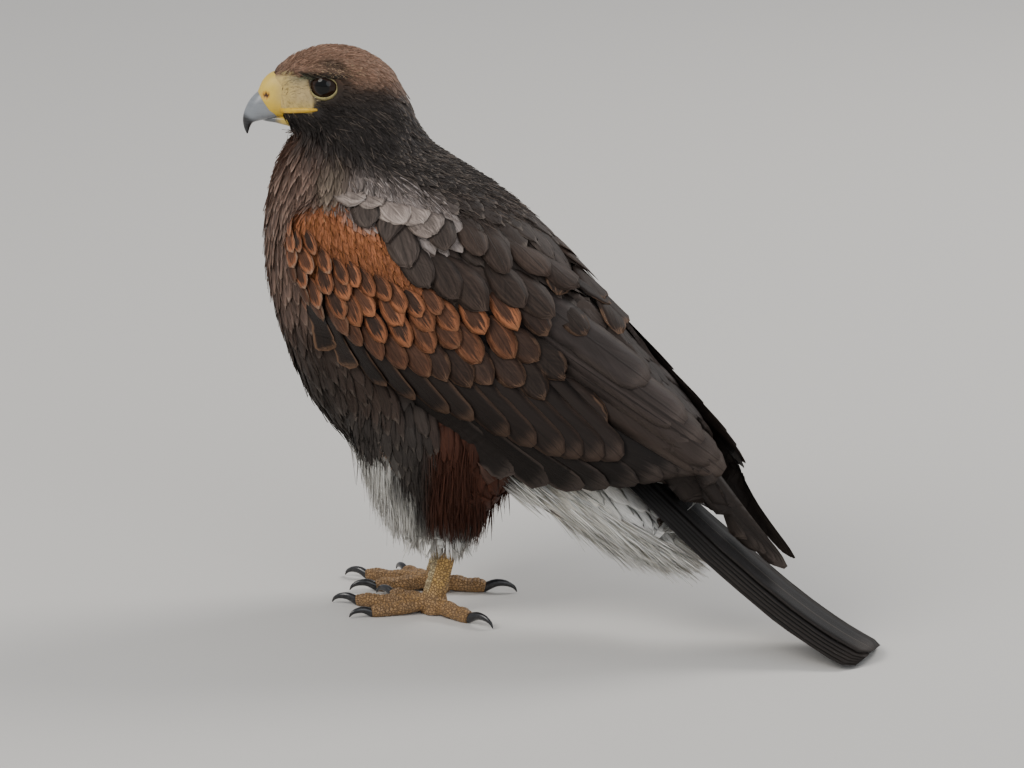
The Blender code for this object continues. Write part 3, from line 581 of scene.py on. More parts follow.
def field(points):
    """Heading, length, width, lift and point of the coat at many places."""
    points = np.asarray(points, float)
    local = head_places(points)
    head_share = smooth_step(neck_height(points), 262, 276)[:, None]

    def blend(guides, places):
        guides = np.array(guides, float)
        away = np.linalg.norm(one_sided(places)[:, None, :] - guides[None, :, :3], axis=2)
        weights = 1 / (away + 2.0) ** 4
        values = weights @ guides[:, 3:] / weights.sum(axis=1, keepdims=True)
        values[:, 1] *= np.where(places[:, 1] < 0, -1, 1)
        return values

    head = blend(HEAD_GUIDES, local)
    head[:, :3] = spun(head[:, :3], HEAD_TURN)
    return head * head_share + blend(BODY_GUIDES, points) * (1 - head_share)


def mix(first, second, share):
    share = np.asarray(share, float)[..., None]
    return np.asarray(first, float) * (1 - share) + np.asarray(second, float) * share


def near(points, centre, radius, softness=0.5):
    """1 within a radius of a place, fading to 0 outside."""
    away = np.linalg.norm((points - np.array(centre)) / np.asarray(radius, float), axis=-1)
    return smooth_fall(away, 1 - softness / 2, 1 + softness / 2)


def between(value, low, high, soft):
    """1 between two values, fading over a soft width at each."""
    return smooth_step(value, low - soft, low + soft) * smooth_fall(value, high - soft, high + soft)


def bare_lores(local):
    """1 on the bare skin between the eye and the cere."""
    x, across, z = one_sided(local).T
    corner = 0.35 * np.clip(z - 3, 0, 20) + 0.25 * np.clip(3 - z, 0, 20)
    front = smooth_fall(x + corner, -17.5, -15.5)
    top = smooth_fall(z - 0.20 * np.clip(x + 30, -12, 0), 14.6, 17.0)
    return front * top * smooth_step(z, -4.6, -3.2) * smooth_step(across, 2.0, 5.0)


class Coat:
    """Tint, heart and fringe of the feathers at many places of the body."""

    def __init__(self, points):
        self.x, self.across, self.z = one_sided(points).T
        self.tint = repeated(BROWN, len(points))
        self.heart = repeated((*SOOTY, 0.25), len(points))
        self.fringe = repeated((*PALE * 0.45, 0.25), len(points))

    def paint(self, colour, share):
        self.tint = mix(self.tint, colour, share)

    def edge(self, colour, share):
        self.fringe[:, :3] = mix(self.fringe[:, :3], colour, share)


def mark_front(coat, body):
    """The streaked chest and the dark belly."""
    front = smooth_step(-coat.x - 0.25 * coat.across, 20, 60) * body
    chest = front * smooth_step(coat.z, 150, 225)
    coat.paint((0.235, 0.150, 0.116), chest * 0.9)
    coat.edge((0.40, 0.29, 0.23), chest)
    coat.fringe[:, 3] += 0.35 * chest
    coat.heart[:, 3] += 0.35 * chest
    coat.paint((0.032, 0.0255, 0.0215), front * smooth_fall(coat.z, 130, 190))


def mark_head(coat, points, head):
    """Warm streaked crown, dark cheeks, buff streaks over the brow, a painted shadow under the brow and bare
    lores.
    """
    local = head_places(points)
    x, y, z = one_sided(local).T
    crown = head * smooth_step(z, 8, 20)
    coat.paint((0.255, 0.148, 0.100), crown)
    cheek = head * smooth_fall(z, 0, 16)
    coat.paint((0.034, 0.029, 0.027), cheek)
    brow = head * between(z, 17, 24, 3) * between(x, -26, 6, 5)
    coat.edge((0.42, 0.29, 0.17), np.maximum(brow, crown * 0.35))
    streaks = coat.fringe[:, 3] + 0.55 * brow + 0.15 * crown - 0.1 * cheek
    coat.fringe[:, 3] = np.clip(streaks, 0, 1)
    nape = head * smooth_step(x, 16, 30)
    coat.edge((0.36, 0.29, 0.24), nape)
    coat.fringe[:, 3] += 0.25 * nape
    throat = head * smooth_fall(z, -26, -14) * smooth_fall(x, -26, -4)
    coat.paint((0.12, 0.10, 0.092), throat * 0.8)
    tuft = near(points, (-52, -33, 253), (9, 16, 11), 0.8)
    coat.paint((0.20, 0.16, 0.12), tuft * 0.8)
    coat.fringe[:, 3] += 0.4 * tuft
    bare = head * bare_lores(local)
    coat.paint((0.52, 0.39, 0.19), bare)
    coat.paint((0.58, 0.42, 0.12), bare * smooth_fall(z, -3, 4) * 0.8)
    coat.paint((0.60, 0.44, 0.17), bare * smooth_fall(x, -34, -25))
    upper_lores = bare * smooth_step(z - 0.12 * (x + 30), 9, 15) * smooth_step(x, -35, -28)
    coat.paint((0.34, 0.30, 0.20), upper_lores * 0.8)
    shelf = head * between(z, 14.8, 18.4, 0.8) * between(x, -26, -8, 2) * smooth_step(y, 8, 12)
    coat.paint((0.17, 0.20, 0.13), shelf)
    orbit = head * near(one_sided(local), EYE_CENTRE, 13.5, 0.3)
    coat.paint((0.030, 0.022, 0.017), orbit * (1 - bare) * 0.8)
    # Painted shadow: a dark line under the brow's ledge, where it shades the top of the eye
    line = head * between(z, 17.0, 19.4, 0.8) * between(x, -27, 2, 3) * smooth_step(y, 14, 17)
    coat.paint((0.016, 0.012, 0.010), line * 0.85)
    coat.paint((0.30, 0.25, 0.15), orbit * bare * smooth_fall(z, 2, 10) * 0.5)


def mark_back(coat, body):
    """Back and rump, and the white about the tail's root, whose share it gives back."""
    x, z = coat.x, coat.z
    back = smooth_step(x + 0.8 * (z - 200), 20, 60) * body
    coat.paint((0.056, 0.043, 0.037), back * 0.8)
    coat.heart[:, 3] -= 0.1 * back
    white = smooth_step(x + 0.25 * (90 - z), 48, 62) * smooth_fall(z + 0.45 * x, 138, 152)
    white *= smooth_fall(z, 104, 116)
    coat.paint(mix(CREAM, WHITE, smooth_step(x, 70, 120)), white)
    coat.edge(WHITE, white)
    coat.heart[:, 3] *= 1 - white
    return white


def mark_trousers(coat, points, white):
    """Chestnut outside, darkened further as painted shade, grey-brown in front and whitish at the hem."""
    x, z = coat.x, coat.z
    leg = smooth_fall(z, 122, 142) * smooth_fall(x, 58, 74) * smooth_step(x, -62, -50)
    leg *= 1 - white
    chestnut = leg * smooth_step(x - 0.10 * (z - 90), 6, 20) * smooth_step(z, 58, 72)
    coat.paint((0.034, 0.028, 0.0245), leg * (1 - chestnut))
    # Painted shade: the chestnut is darker than its own colour, for the shade under the body
    coat.paint(SHADED_CHESTNUT, chestnut)
    coat.heart[:, 3] *= 1 - 0.8 * leg
    coat.edge((0.10, 0.034, 0.018), chestnut)
    hem_top = np.interp(x, (-40, -10, 4, 22, 50), (112, 106, 84, 66, 63))
    waves = 7 * np.sin(0.55 * points[:, 1] + 0.35 * x)
    hem_top = hem_top + waves * smooth_step(-x, -10, 10)
    hem = leg * smooth_fall(z, hem_top - 22, hem_top)
    hem = hem * (0.35 + 0.65 * smooth_step(coat.across, 4, 14))
    coat.paint((0.64, 0.62, 0.57), hem)
    coat.edge(WHITE, hem)
    coat.heart[:, 3] *= 1 - 0.9 * hem


def mark_shoulder(coat, points, body):
    """The rufous shoulder with its dark hearts lower down, and over it a pale band of painted sheen, the
    skylight reflected by its upper faces.
    """
    x, across, z = coat.x, coat.across, coat.z
    lower_edge = np.interp(x, (-76, -68, -48, -23, 12, 48), (213, 192, 171, 153, 138, 124))
    wing = smooth_step(across, 42, 48) * smooth_step(z - lower_edge, 0, 5) * between(x, -80, 70, 3)
    edge_line = np.interp(x, (-70, -41, -22, 0, 14, 26, 60), (232, 246, 238, 224, 200, 190, 186))
    shoulder = wing * smooth_fall(z - edge_line, -4, 4) * smooth_step(x, -73, -62)
    low = smooth_fall(z + 0.25 * x, 184, 226)
    coat.paint(mix(RUFOUS, RUFOUS * 0.7, low), shoulder)
    coat.heart[:, 3] = coat.heart[:, 3] * (1 - shoulder) + shoulder * (0.06 + 0.94 * low)
    coat.edge((0.40, 0.17, 0.07), shoulder)
    # Painted sheen: the scapulars and the band along the top of the shoulder are tinted pale grey for the
    # skylight they reflect, and their dark hearts are washed out
    scapular = smooth_step(z - edge_line, -2, 5) * between(x, -44, 26, 5)
    scapular = scapular * smooth_step(across, 33, 41)
    coat.paint(SKY_SHEEN * 0.9, scapular * smooth_step(z, 230, 242) * 0.9)
    coat.paint((0.29, 0.245, 0.225), sheen_band(points) * body)
    coat.heart[:, 3] *= 1 - 0.7 * np.maximum(scapular, sheen_band(points))


def markings(points):
    """Tint, heart and fringe of the coat at many places of the body."""
    points = np.asarray(points, float)
    head = smooth_step(neck_height(points), 258, 274)
    coat = Coat(points)
    mark_front(coat, 1 - head)
    mark_head(coat, points, head)
    white = mark_back(coat, 1 - head)
    mark_trousers(coat, points, white)
    mark_shoulder(coat, points, 1 - head)
    return tuple(np.clip(values, 0, 1) for values in (coat.tint, coat.heart, coat.fringe))


# Outlines of a small feather: share of its length, and half its width there,
# when round and when pointed
SHARES = np.array((0.0, 0.2, 0.42, 0.62, 0.78, 0.90, 1.0))
FEW = SHARES[::2]
ROUND = np.array((0.30, 0.70, 0.94, 1.0, 0.92, 0.68, 0.20))
POINTED = np.array((0.45, 0.85, 1.0, 0.85, 0.60, 0.34, 0.05))
BLUNT = ROUND * 0.85 + POINTED * 0.15


def lay(surface, roots, headings, lengths, shares, halves, lifts,
        targets=None, camber=0.10, tilt=0.15, skew=0.0):
    """Feathers laid along a surface, as a grid of points for each.

    halves holds half the width at each share of the length, one row a
    feather; lifts holds the lift at the root and at the tip.
    """
    count, rows = len(roots), len(shares)
    middle, left, right, up, up_left, up_right = np.zeros((6, count, rows, 3))
    for index in range(count):
        place, normal = surface.nearest(Vector(roots[index]))
        heading = Vector(headings[index])
        travelled = 0.0
        for row in range(rows):
            step = (shares[row] - travelled) * lengths[index]
            travelled = shares[row]
            if targets is not None and row < rows - 2:
                heading = Vector(targets[index]) - place
            heading = (heading - normal * heading.dot(normal)).normalized()
            if step > 0:
                found, found_normal = surface.nearest(place + heading * step)
                if found_normal.dot(normal) > 0.3 and (found - place).length > 0.3 * step:
                    place, normal = found, found_normal
                else:
                    place = place + heading * step
                heading = (heading - normal * heading.dot(normal)).normalized()
            side = normal.cross(heading)
            half = halves[index, row]
            ends = []
            for way, share in ((-1, 1 - skew), (1, 1 + skew)):
                wanted = place + side * way * half * share
                found, found_normal = surface.nearest(wanted)
                if found_normal.dot(normal) < 0.35 or (found - wanted).length > 0.9 * half + 0.5:
                    found, found_normal = wanted, normal
                ends.append((found, found_normal))
            middle[index, row], up[index, row] = place, normal
            left[index, row], up_left[index, row] = ends[0]
            right[index, row], up_right[index, row] = ends[1]
    rise = lifts[:, :1] + (lifts[:, 1:] - lifts[:, :1]) * shares[None, :] ** 0.9
    bow = camber * halves
    centre = middle + up * (rise + bow)[..., None]
    first = left + up_left * (rise - tilt)[..., None]
    last = right + up_right * (rise + tilt)[..., None]
    quarter = (first + centre) / 2 + up * (0.25 * bow)[..., None]
    three = (last + centre) / 2 + up * (0.25 * bow)[..., None]
    return np.stack([first, quarter, centre, three, last], axis=2)


def worn_tips(grid, chance, amount):
    """Draws each tip's barbs out or in by a share of the feather's length."""
    reach = grid[:, -1, 2] - grid[:, -3, 2]
    for row, weight in ((-1, 1.0), (-2, 0.45)):
        shift = chance.normal(0, amount, (len(grid), grid.shape[2], 1)) * weight
        grid[:, row] += reach[:, None, :] * shift
    return grid


def lies_well(grid, lengths, halves):
    """False for a feather that a fold of the skin has torn or stretched."""
    steps = np.linalg.norm(np.diff(grid[:, :, 2], axis=1), axis=2).max(axis=1)
    spans = np.linalg.norm(grid[:, :, -1] - grid[:, :, 0], axis=2).max(axis=1)
    sides = np.linalg.norm(np.diff(grid, axis=1), axis=3).max(axis=(1, 2))
    narrow = spans < 2.6 * halves.max(axis=1) + 0.8
    return (steps < 0.42 * lengths) & narrow & (sides < 0.55 * lengths)


def crossings(corners):
    """The cross product of two sides of each triangle."""
    return np.cross(corners[:, 1] - corners[:, 0], corners[:, 2] - corners[:, 0])


def scatter(spacing, seed, keep=None):
    """Roots over the skin, each as far from the next as asked: places, faces and normals."""
    chance = np.random.default_rng(seed)
    corners = State.skin_points[State.skin_faces]
    centres = corners.mean(axis=1)
    weights = np.linalg.norm(crossings(corners), axis=1) / 2 / spacing(centres) ** 2
    if keep is not None:
        weights = weights * keep(centres)
    total = int(weights.sum() * 5)
    picks = chance.choice(len(corners), size=total, p=weights / weights.sum())
    first, second = chance.random((2, total, 1))
    flip = first + second > 1
    first, second = np.where(flip, 1 - first, first), np.where(flip, 1 - second, second)
    places = corners[picks, 0] + first * (corners[picks, 1] - corners[picks, 0])
    places += second * (corners[picks, 2] - corners[picks, 0])
    room = spacing(places)
    finder = place_finder(places)
    free = np.ones(total, bool)
    chosen = []
    for index in range(total):
        if free[index]:
            chosen.append(index)
            for _, other, _ in finder.find_range(places[index], room[index]):
                free[other] = False
    picks = picks[chosen]
    normals = crossings(corners[picks])
    normals /= np.linalg.norm(normals, axis=1)[:, None]
    return places[chosen], picks, normals


def feather_mesh(name, grid, tint, heart, fringe, patches, seed):
    """One object from a grid of points a feather: closed vanes with their marks.

    patches holds, for each feather, the corner and the size of its own part
    of the bake's map.
    """
    count, rows, columns = grid.shape[:3]
    chance = np.random.default_rng(seed)
    across = np.linspace(0, 1, columns)
    along = {len(SHARES): SHARES, len(FEW): FEW}.get(rows, np.linspace(0, 1, rows))
    index = np.arange(rows * columns).reshape(rows, columns)
    faces, tops = [], []
    for near_row, far_row in zip(index, index[1:]):
        for k in range(columns - 1):
            faces.append((near_row[k], far_row[k], far_row[k + 1], near_row[k + 1]))
        faces.append((near_row[0], near_row[-1], far_row[-1], far_row[0]))
        tops += [True] * (columns - 1) + [False]
    faces += [tuple(index[0, :]), tuple(index[-1, ::-1])]
    tops += [False, False]
    sizes = np.array([len(face) for face in faces])
    corners = np.concatenate([np.array(face) for face in faces])
    loops = (corners[None, :] + (np.arange(count) * rows * columns)[:, None]).ravel()
    starts = np.concatenate([[0], np.cumsum(np.tile(sizes, count))[:-1]])

    mesh = bpy.data.meshes.new(name)
    mesh.vertices.add(count * rows * columns)
    mesh.vertices.foreach_set("co", metres(grid.reshape(-1, 3)).astype(np.float32).ravel())
    mesh.loops.add(len(loops))
    mesh.loops.foreach_set("vertex_index", loops.astype(np.int32))
    mesh.polygons.add(count * len(faces))
    mesh.polygons.foreach_set("loop_start", starts.astype(np.int32))
    mesh.polygons.foreach_set("use_smooth", np.tile(np.array(tops), count))
    mesh.update(calc_edges=True)

    vane = np.stack(np.meshgrid(across, along), axis=2).reshape(-1, 2)
    corner_vane = np.tile(vane[corners], (count, 1))
    add_map(mesh, "Vane", corner_vane)
    luck = np.repeat(chance.random((count, 2)), len(corners), axis=0)
    add_map(mesh, "Luck", luck)
    own = np.repeat(patches, len(corners), axis=0)
    add_map(mesh, "OFBake", own[:, :2] + corner_vane[:, ::-1] * own[:, 2:])
    for label, values in (("tint", tint), ("heart", heart), ("fringe", fringe)):
        set_colours(mesh, label, np.repeat(values, rows * columns, axis=0))
    return new_object(name, mesh)


def add_map(mesh, name, values):
    layer = mesh.uv_layers.new(name=name)
    layer.data.foreach_set("uv", values.astype(np.float32).ravel())


def strips(count):
    """A tidy map for a few large feathers: one strip for each."""
    patches = repeated((0.02, 0.1 / count, 0.96, 0.8 / count), count)
    patches[:, 1] = (np.arange(count) + 0.1) / count
    return patches


PATCH = 0.003


def small_patches(places):
    """Patches of PATCH's size about the roots' places on the unwrapped skin."""
    places = np.clip(places, 0.01, 0.99)
    return np.concatenate([places - PATCH / 2, np.full((len(places), 2), PATCH)], axis=1)


class Value:
    """A node's output that sums can be written with, each a math node more."""

    def __init__(self, nodes, socket):
        self.nodes, self.socket = nodes, socket

    def __add__(self, other):
        return self.nodes.math("ADD", self, other)

    def __sub__(self, other):
        return self.nodes.math("SUBTRACT", self, other)

    def __rsub__(self, other):
        return self.nodes.math("SUBTRACT", other, self)

    def __mul__(self, other):
        return self.nodes.math("MULTIPLY", self, other)

    def __truediv__(self, other):
        return self.nodes.math("DIVIDE", self, other)


class Nodes:
    """Short words for building a node tree."""

    def __init__(self, tree):
        self.tree = tree

    def put(self, socket, value):
        if isinstance(value, Value):
            value = value.socket
        if isinstance(value, bpy.types.NodeSocket):
            self.tree.links.new(value, socket)
        elif socket.type == "RGBA" and len(value) == 3:
            socket.default_value = (*value, 1)
        else:
            socket.default_value = value

    def put_all(self, node, values):
        for socket, value in zip(node.inputs, values):
            self.put(socket, value)

    def add(self, kind, **inputs):
        made = self.tree.nodes.new(kind)
        for key, value in inputs.items():
            self.put(made.inputs[key.replace("_", " ")], value)
        return made

    def value(self, node, name=0):
        return Value(self, node.outputs[name])

    def math(self, operation, *values, clamp=False):
        made = self.add("ShaderNodeMath")
        made.operation = operation
        made.use_clamp = clamp
        self.put_all(made, values)
        return self.value(made)

    def most(self, first, second, clamp=False):
        """The larger of two values."""
        return self.math("MAXIMUM", first, second, clamp=clamp)

    def share_of(self, first, second):
        """A product that stays between 0 and 1."""
        return self.math("MULTIPLY", first, second, clamp=True)

    def ramp(self, value, low, high):
        """A soft rise from 0 to 1 as the value goes from low to high."""
        made = self.add("ShaderNodeMapRange")
        made.interpolation_type = "SMOOTHSTEP"
        self.put_all(made, (value, low, high))
        return self.value(made)

    def mix(self, share, first, second, blend="MIX"):
        made = self.add("ShaderNodeMix")
        made.data_type = "RGBA"
        made.blend_type = blend
        for socket, value in zip((made.inputs[0], *made.inputs[6:]), (share, first, second)):
            self.put(socket, value)
        return self.value(made, 2)

    def uv(self, name):
        made = self.add("ShaderNodeUVMap")
        made.uv_map = name
        parts = self.add("ShaderNodeSeparateXYZ", Vector=made.outputs[0])
        return self.value(parts, 0), self.value(parts, 1)

    def attribute(self, name):
        made = self.add("ShaderNodeAttribute")
        made.attribute_name = name
        return made

    def number(self, name):
        return self.value(self.attribute(name), "Fac")

    def vector(self, *values):
        made = self.add("ShaderNodeCombineXYZ")
        self.put_all(made, values)
        return self.value(made)

    def grain(self, vector, scale, detail=2.0, roughness=0.5):
        return self.value(self.add("ShaderNodeTexNoise", Vector=vector, Scale=scale, Detail=detail,
                                   Roughness=roughness))

    def place(self):
        return self.value(self.add("ShaderNodeTexCoord"), "Object")


def vane_group():
    """A feather's own marks: heart, fringe, shaft and barbs, from its Vane map, and painted shade that
    darkens its root.
    """
    group = bpy.data.node_groups.get("Vane marks")
    if group:
        return group
    group = bpy.data.node_groups.new("Vane marks", "ShaderNodeTree")
    for way, kind, names in (
        ("INPUT", "Color", ("Tint", "Heart", "Fringe", "Shaft colour")),
        ("INPUT", "Float", ("Heart amount", "Fringe amount", "Barbs", "Shaft", "Streaks")),
        ("OUTPUT", "Color", ("Color",)),
        ("OUTPUT", "Float", ("Height", "Roughness")),
    ):
        for name in names:
            group.interface.new_socket(name, in_out=way, socket_type="NodeSocket" + kind)
    n = Nodes(group)
    given = group.nodes.new("NodeGroupInput").outputs
    out = group.nodes.new("NodeGroupOutput").inputs
    u, v = n.uv("Vane")
    luck, second_luck = n.uv("Luck")
    side = n.math("ABSOLUTE", u * 2.0 - 1.0)
    slant = v * 3.0 - side * 1.1
    hairs = n.grain(n.vector(u * 9.0, v * 1.3, luck * 90.0), 1.6, 2.0, 0.6) - 0.5
    barbs = n.grain(n.vector(slant * given["Barbs"], side * 1.4, luck * 40.0), 1.0, 2.0, 0.6)
    clumps = n.grain(n.vector(slant * 5.0, side, second_luck * 60.0), 1.0, 1.0)
    rough, streaks = barbs - 0.5, hairs * given["Streaks"]

    # The fringe runs along the sides of the outer half and round the tip
    rim = n.most(side * n.ramp(v, 0.30, 0.66), v * 2.6 - 1.6) + rough * 0.35 + streaks * 0.9
    fringe = n.share_of(n.ramp(rim, 0.70, 0.98), given["Fringe amount"])
    wide, far = side / 0.72, n.most(v - 0.50, 0.0) / 0.42
    reach = n.math("SQRT", wide * wide + far * far) + rough * 0.5 + streaks * 1.6
    heart = n.share_of(n.ramp(reach, 1.05, 0.62), given["Heart amount"])
    colour = n.mix(fringe, n.mix(heart, given["Tint"], given["Heart"]), given["Fringe"])
    light = n.most(barbs * 0.7 + clumps * 0.5 + luck * 0.28 + 0.26 + streaks * 1.5, 0.12)
    colour = n.mix(1.0, colour, n.vector(light, light, light), "MULTIPLY")
    shaft = n.share_of(n.ramp(side, 0.075, 0.02), given["Shaft"])
    colour = n.mix(shaft * 0.55, colour, given["Shaft colour"])
    # Painted shade: each feather darkens towards its root, where the feather before it lies over it
    colour = n.mix(n.ramp(v, 0.45, 0.05) * 0.38, colour, (0.05, 0.045, 0.04), "MULTIPLY")
    n.put(out["Color"], colour)
    n.put(out["Height"], barbs * 0.7 + shaft * 0.8 + streaks)
    n.put(out["Roughness"], n.math("ADD", 0.50, barbs * 0.25))
    return group


class Finish(Nodes):
    """A material with its shader, and short words to end it with."""

    def __init__(self, name, roughness=0.5, specular=0.16, coat=0.0):
        self.material = bpy.data.materials.new(name)
        self.material.use_nodes = True
        super().__init__(self.material.node_tree)
        self.sockets = self.tree.nodes["Principled BSDF"].inputs
        self.sockets["Roughness"].default_value = roughness
        self.sockets["Specular IOR Level"].default_value = specular
        self.sockets["Coat Weight"].default_value = coat
        self.sockets["Coat Roughness"].default_value = 0.06

    def coloured(self, colour):
        """Sets the colour and gives back the finished material."""
        self.put(self.sockets["Base Color"], colour)
        return self.material

    def relief(self, strength, distance, height):
        bump = self.add("ShaderNodeBump", Strength=strength, Distance=distance, Height=height)
        self.put(self.sockets["Normal"], bump.outputs[0])


def feather_material(name, barbs=26.0, shaft=0.5, bump=0.5, streaks=0.6, shaft_colour=(0.012, 0.009, 0.008)):
    """A plumage finish whose marks come from each feather's own colours."""
    n = Finish(name)
    group = n.add("ShaderNodeGroup")
    group.node_tree = vane_group()
    settings = {"Barbs": barbs, "Shaft": shaft, "Shaft colour": shaft_colour, "Streaks": streaks}
    settings["Tint"] = n.attribute("tint").outputs["Color"]
    for label in ("heart", "fringe"):
        marks = n.attribute(label).outputs
        settings[label.title()] = marks["Color"]
        settings[label.title() + " amount"] = marks["Alpha"]
    for key, value in settings.items():
        n.put(group.inputs[key], value)
    n.put(n.sockets["Roughness"], group.outputs["Roughness"])
    n.relief(bump, 0.0004, group.outputs["Height"])
    return n.coloured(group.outputs["Color"])


def give(obj, material):
    obj.data.materials.clear()
    obj.data.materials.append(material)


class State:
    """What one step makes and a later one needs."""

    skin_points = None
    skin_faces = None
    skin_map = None
    surface = None
    flanks = {}


def build_wing_core(side):
    """The folded wing under its feathers, a lens that sinks below the flight feathers."""
    rings = []
    shares = np.linspace(0.02, 0.95, 14)
    for station in np.linspace(0.1, 9.4, 30):
        step = 0.02
        here = flank(station, shares)
        along = flank(station + step, shares) - flank(station - step, shares)
        over = flank(station, shares + step) - flank(station, shares - step)
        normal = np.cross(over, along)
        normal /= np.linalg.norm(normal, axis=1)[:, None]
        sink = 0.6 + 4.6 * smooth_step(flight_zone(station, shares), 1.1, 1.4)
        thickness = (8.0 - 0.4 * station) * (0.3 + 0.7 * np.sin(math.pi * shares) ** 0.6)
        thickness *= 0.4 + 0.6 * math.sin(math.pi * min(station / 2.0, 0.5))
        outer = here - normal * sink[:, None]
        inner = here - normal * (sink + thickness)[:, None]
        ring = np.concatenate([outer, inner[::-1]])
        rings.append(ring if side < 0 else mirrored_places(ring))
    return loft(f"wing_core_{side}", rings)


BROW = (
    (-31, 12.6, 18.4, 0.8), (-24, 16.8, 19.2, 2.1), (-15, 19.8, 20.0, 2.9),
    (-6, 20.8, 19.4, 2.6), (2, 21.0, 17.4, 1.6), (8, 20.6, 15.4, 0.5),
)


def build_brow(side):
    """The shelf of the brow over one eye, as a form to blend into the skin."""
    rows = smooth_rows(BROW, 20)
    path = rows[:, :3] * np.array([1, side, 1])
    return tube(f"brow_{side}", turn_head(path), rows[:, 3], 12)


def build_skin():
    """One skin over head, neck, body, wings' cores and legs, a coat's depth inside them."""
    pieces = [node_copy(name) for name in ("head", "neck", "torso", "cere")]
    pieces += [build_brow(side) for side in (-1, 1)]
    thighs = [node_copy(name) for name in ("thigh_left", "thigh_right")]
    for thigh in thighs:
        trim_locks(thigh)
    cores = [build_wing_core(side) for side in (-1, 1)]
    under = loft("undertail_core", [section_ring(row, 24) for row in smooth_rows(UNDERTAIL_CORE, 12)])
    skin = joined("body_skin", [*pieces, *thighs, *cores, under], 0.35)
    apply_modifier(skin, "one skin", "REMESH", mode="VOXEL", voxel_size=SKIN_VOXEL, use_smooth_shade=True)
    apply_modifier(skin, "soften", "SMOOTH", factor=0.5, iterations=5)
    points = millimetres(mesh_points(skin))
    depth = field(points)[:, 5] + 0.3
    local = head_places(points)
    on_head = points[:, 2] > FACE_FLOOR
    eye_zone = near(one_sided(local), EYE_CENTRE, 14, 0.4) * on_head
    bare = bare_lores(local) * on_head
    over_cere = smooth_step(local[:, 2], 10, 14)
    cere_bed = on_head * smooth_fall(local[:, 0] + 6 * over_cere, -38, -33) * 1.2
    depth = depth * (1 - 0.7 * np.maximum(eye_zone, bare)) + cere_bed
    points -= mesh_normals(skin) * depth[:, None]
    set_points(skin, metres(points))
    select_only(skin)
    bpy.ops.object.mode_set(mode="EDIT")
    bpy.ops.mesh.select_all(action="SELECT")
    bpy.ops.uv.smart_project(angle_limit=math.radians(66), island_margin=0.003)
    bpy.ops.object.mode_set(mode="OBJECT")
    set_colours(skin.data, "tint", markings(points)[0])
    return skin


def trim_locks(thigh):
    """Draws the trouser's hem in, so that the render's own loose feathers hang free there."""
    points = millimetres(mesh_points(thigh))
    side = -1 if points[:, 1].mean() < 0 else 1
    foot = LEFT_FOOT if side < 0 else RIGHT_FOOT
    shift = foot[0] - LEFT_FOOT[0] + 2
    centre = np.array([shift + 8.0, foot[1] * 1.15])
    low = 1 - smooth_step(points[:, 2], 44, 66)
    points[:, :2] += (centre - points[:, :2]) * (0.18 * low)[:, None]
    points[:, 2] = np.where(points[:, 2] < 46, 46 + (points[:, 2] - 46) * 0.3, points[:, 2])
    set_points(thigh, metres(points))


def read_skin(skin):
    """Keeps the skin's points, triangles and map for the feathers."""
    mesh = skin.data
    mesh.calc_loop_triangles()
    corners = read(mesh.loop_triangles, "loops", 3, np.int32)
    State.skin_points = millimetres(mesh_points(skin))
    State.skin_faces = read(mesh.loop_triangles, "vertices", 3, np.int32)
    State.skin_map = read(mesh.uv_layers[0].data, "uv", 2)[corners].mean(axis=1)
    State.surface = Surface(State.skin_points, [tuple(face) for face in State.skin_faces.tolist()])


def skin_material():
    """The coat's colours, mottled, for what shows between the feathers."""
    n = Finish("body_skin", 0.7)
    place = n.place()
    grain = n.grain(place, 420.0, 4.0, 0.6)
    light = grain * 0.5 + (n.grain(place, 90.0, 3.0) * 0.4 + 0.5)
    n.relief(0.5, 0.0003, grain)
    tint = n.attribute("tint").outputs["Color"]
    return n.coloured(n.mix(1.0, tint, n.vector(light, light, light), "MULTIPLY"))


def wing_share(points):
    """Station and share of the nearest place of the wing, and how far away it is."""
    found = np.zeros((len(points), 3))
    for index, point in enumerate(points):
        side = -1 if point[1] < 0 else 1
        surface = State.flanks[side]
        place = surface.nearest(Vector(point))[0]
        found[index, :2] = surface.samples[flank_samples(surface, [(place.x, place.z)])[0]]
        found[index, 2] = (Vector(point) - place).length
    return found


def covered(points, normals):
    """True where a wing hides the skin from outside, below and in front."""
    hidden = np.zeros(len(points), bool)
    for index, (point, normal) in enumerate(zip(points, normals)):
        hits = 0
        for lean in ((0, 0, 0), (0, 0, -0.9), (-0.9, 0, -0.2)):
            way = (Vector(normal) + Vector(lean)).normalized()
            start = Vector(point) + Vector(normal) * 1.5
            hit = State.surface.tree.ray_cast(start, way, 60)
            hits += hit[0] is not None and (hit[0] - start).length > 1.0
        hidden[index] = hits == 3
    return hidden


def median_line(x):
    """Height of the topmost row of median coverts' tips."""
    line = next(row[1] for row in COVERT_ROWS if row[0] == "median_lesser") + ((98, 175),)
    return np.interp(x, [place[0] for place in line], [place[1] for place in line])


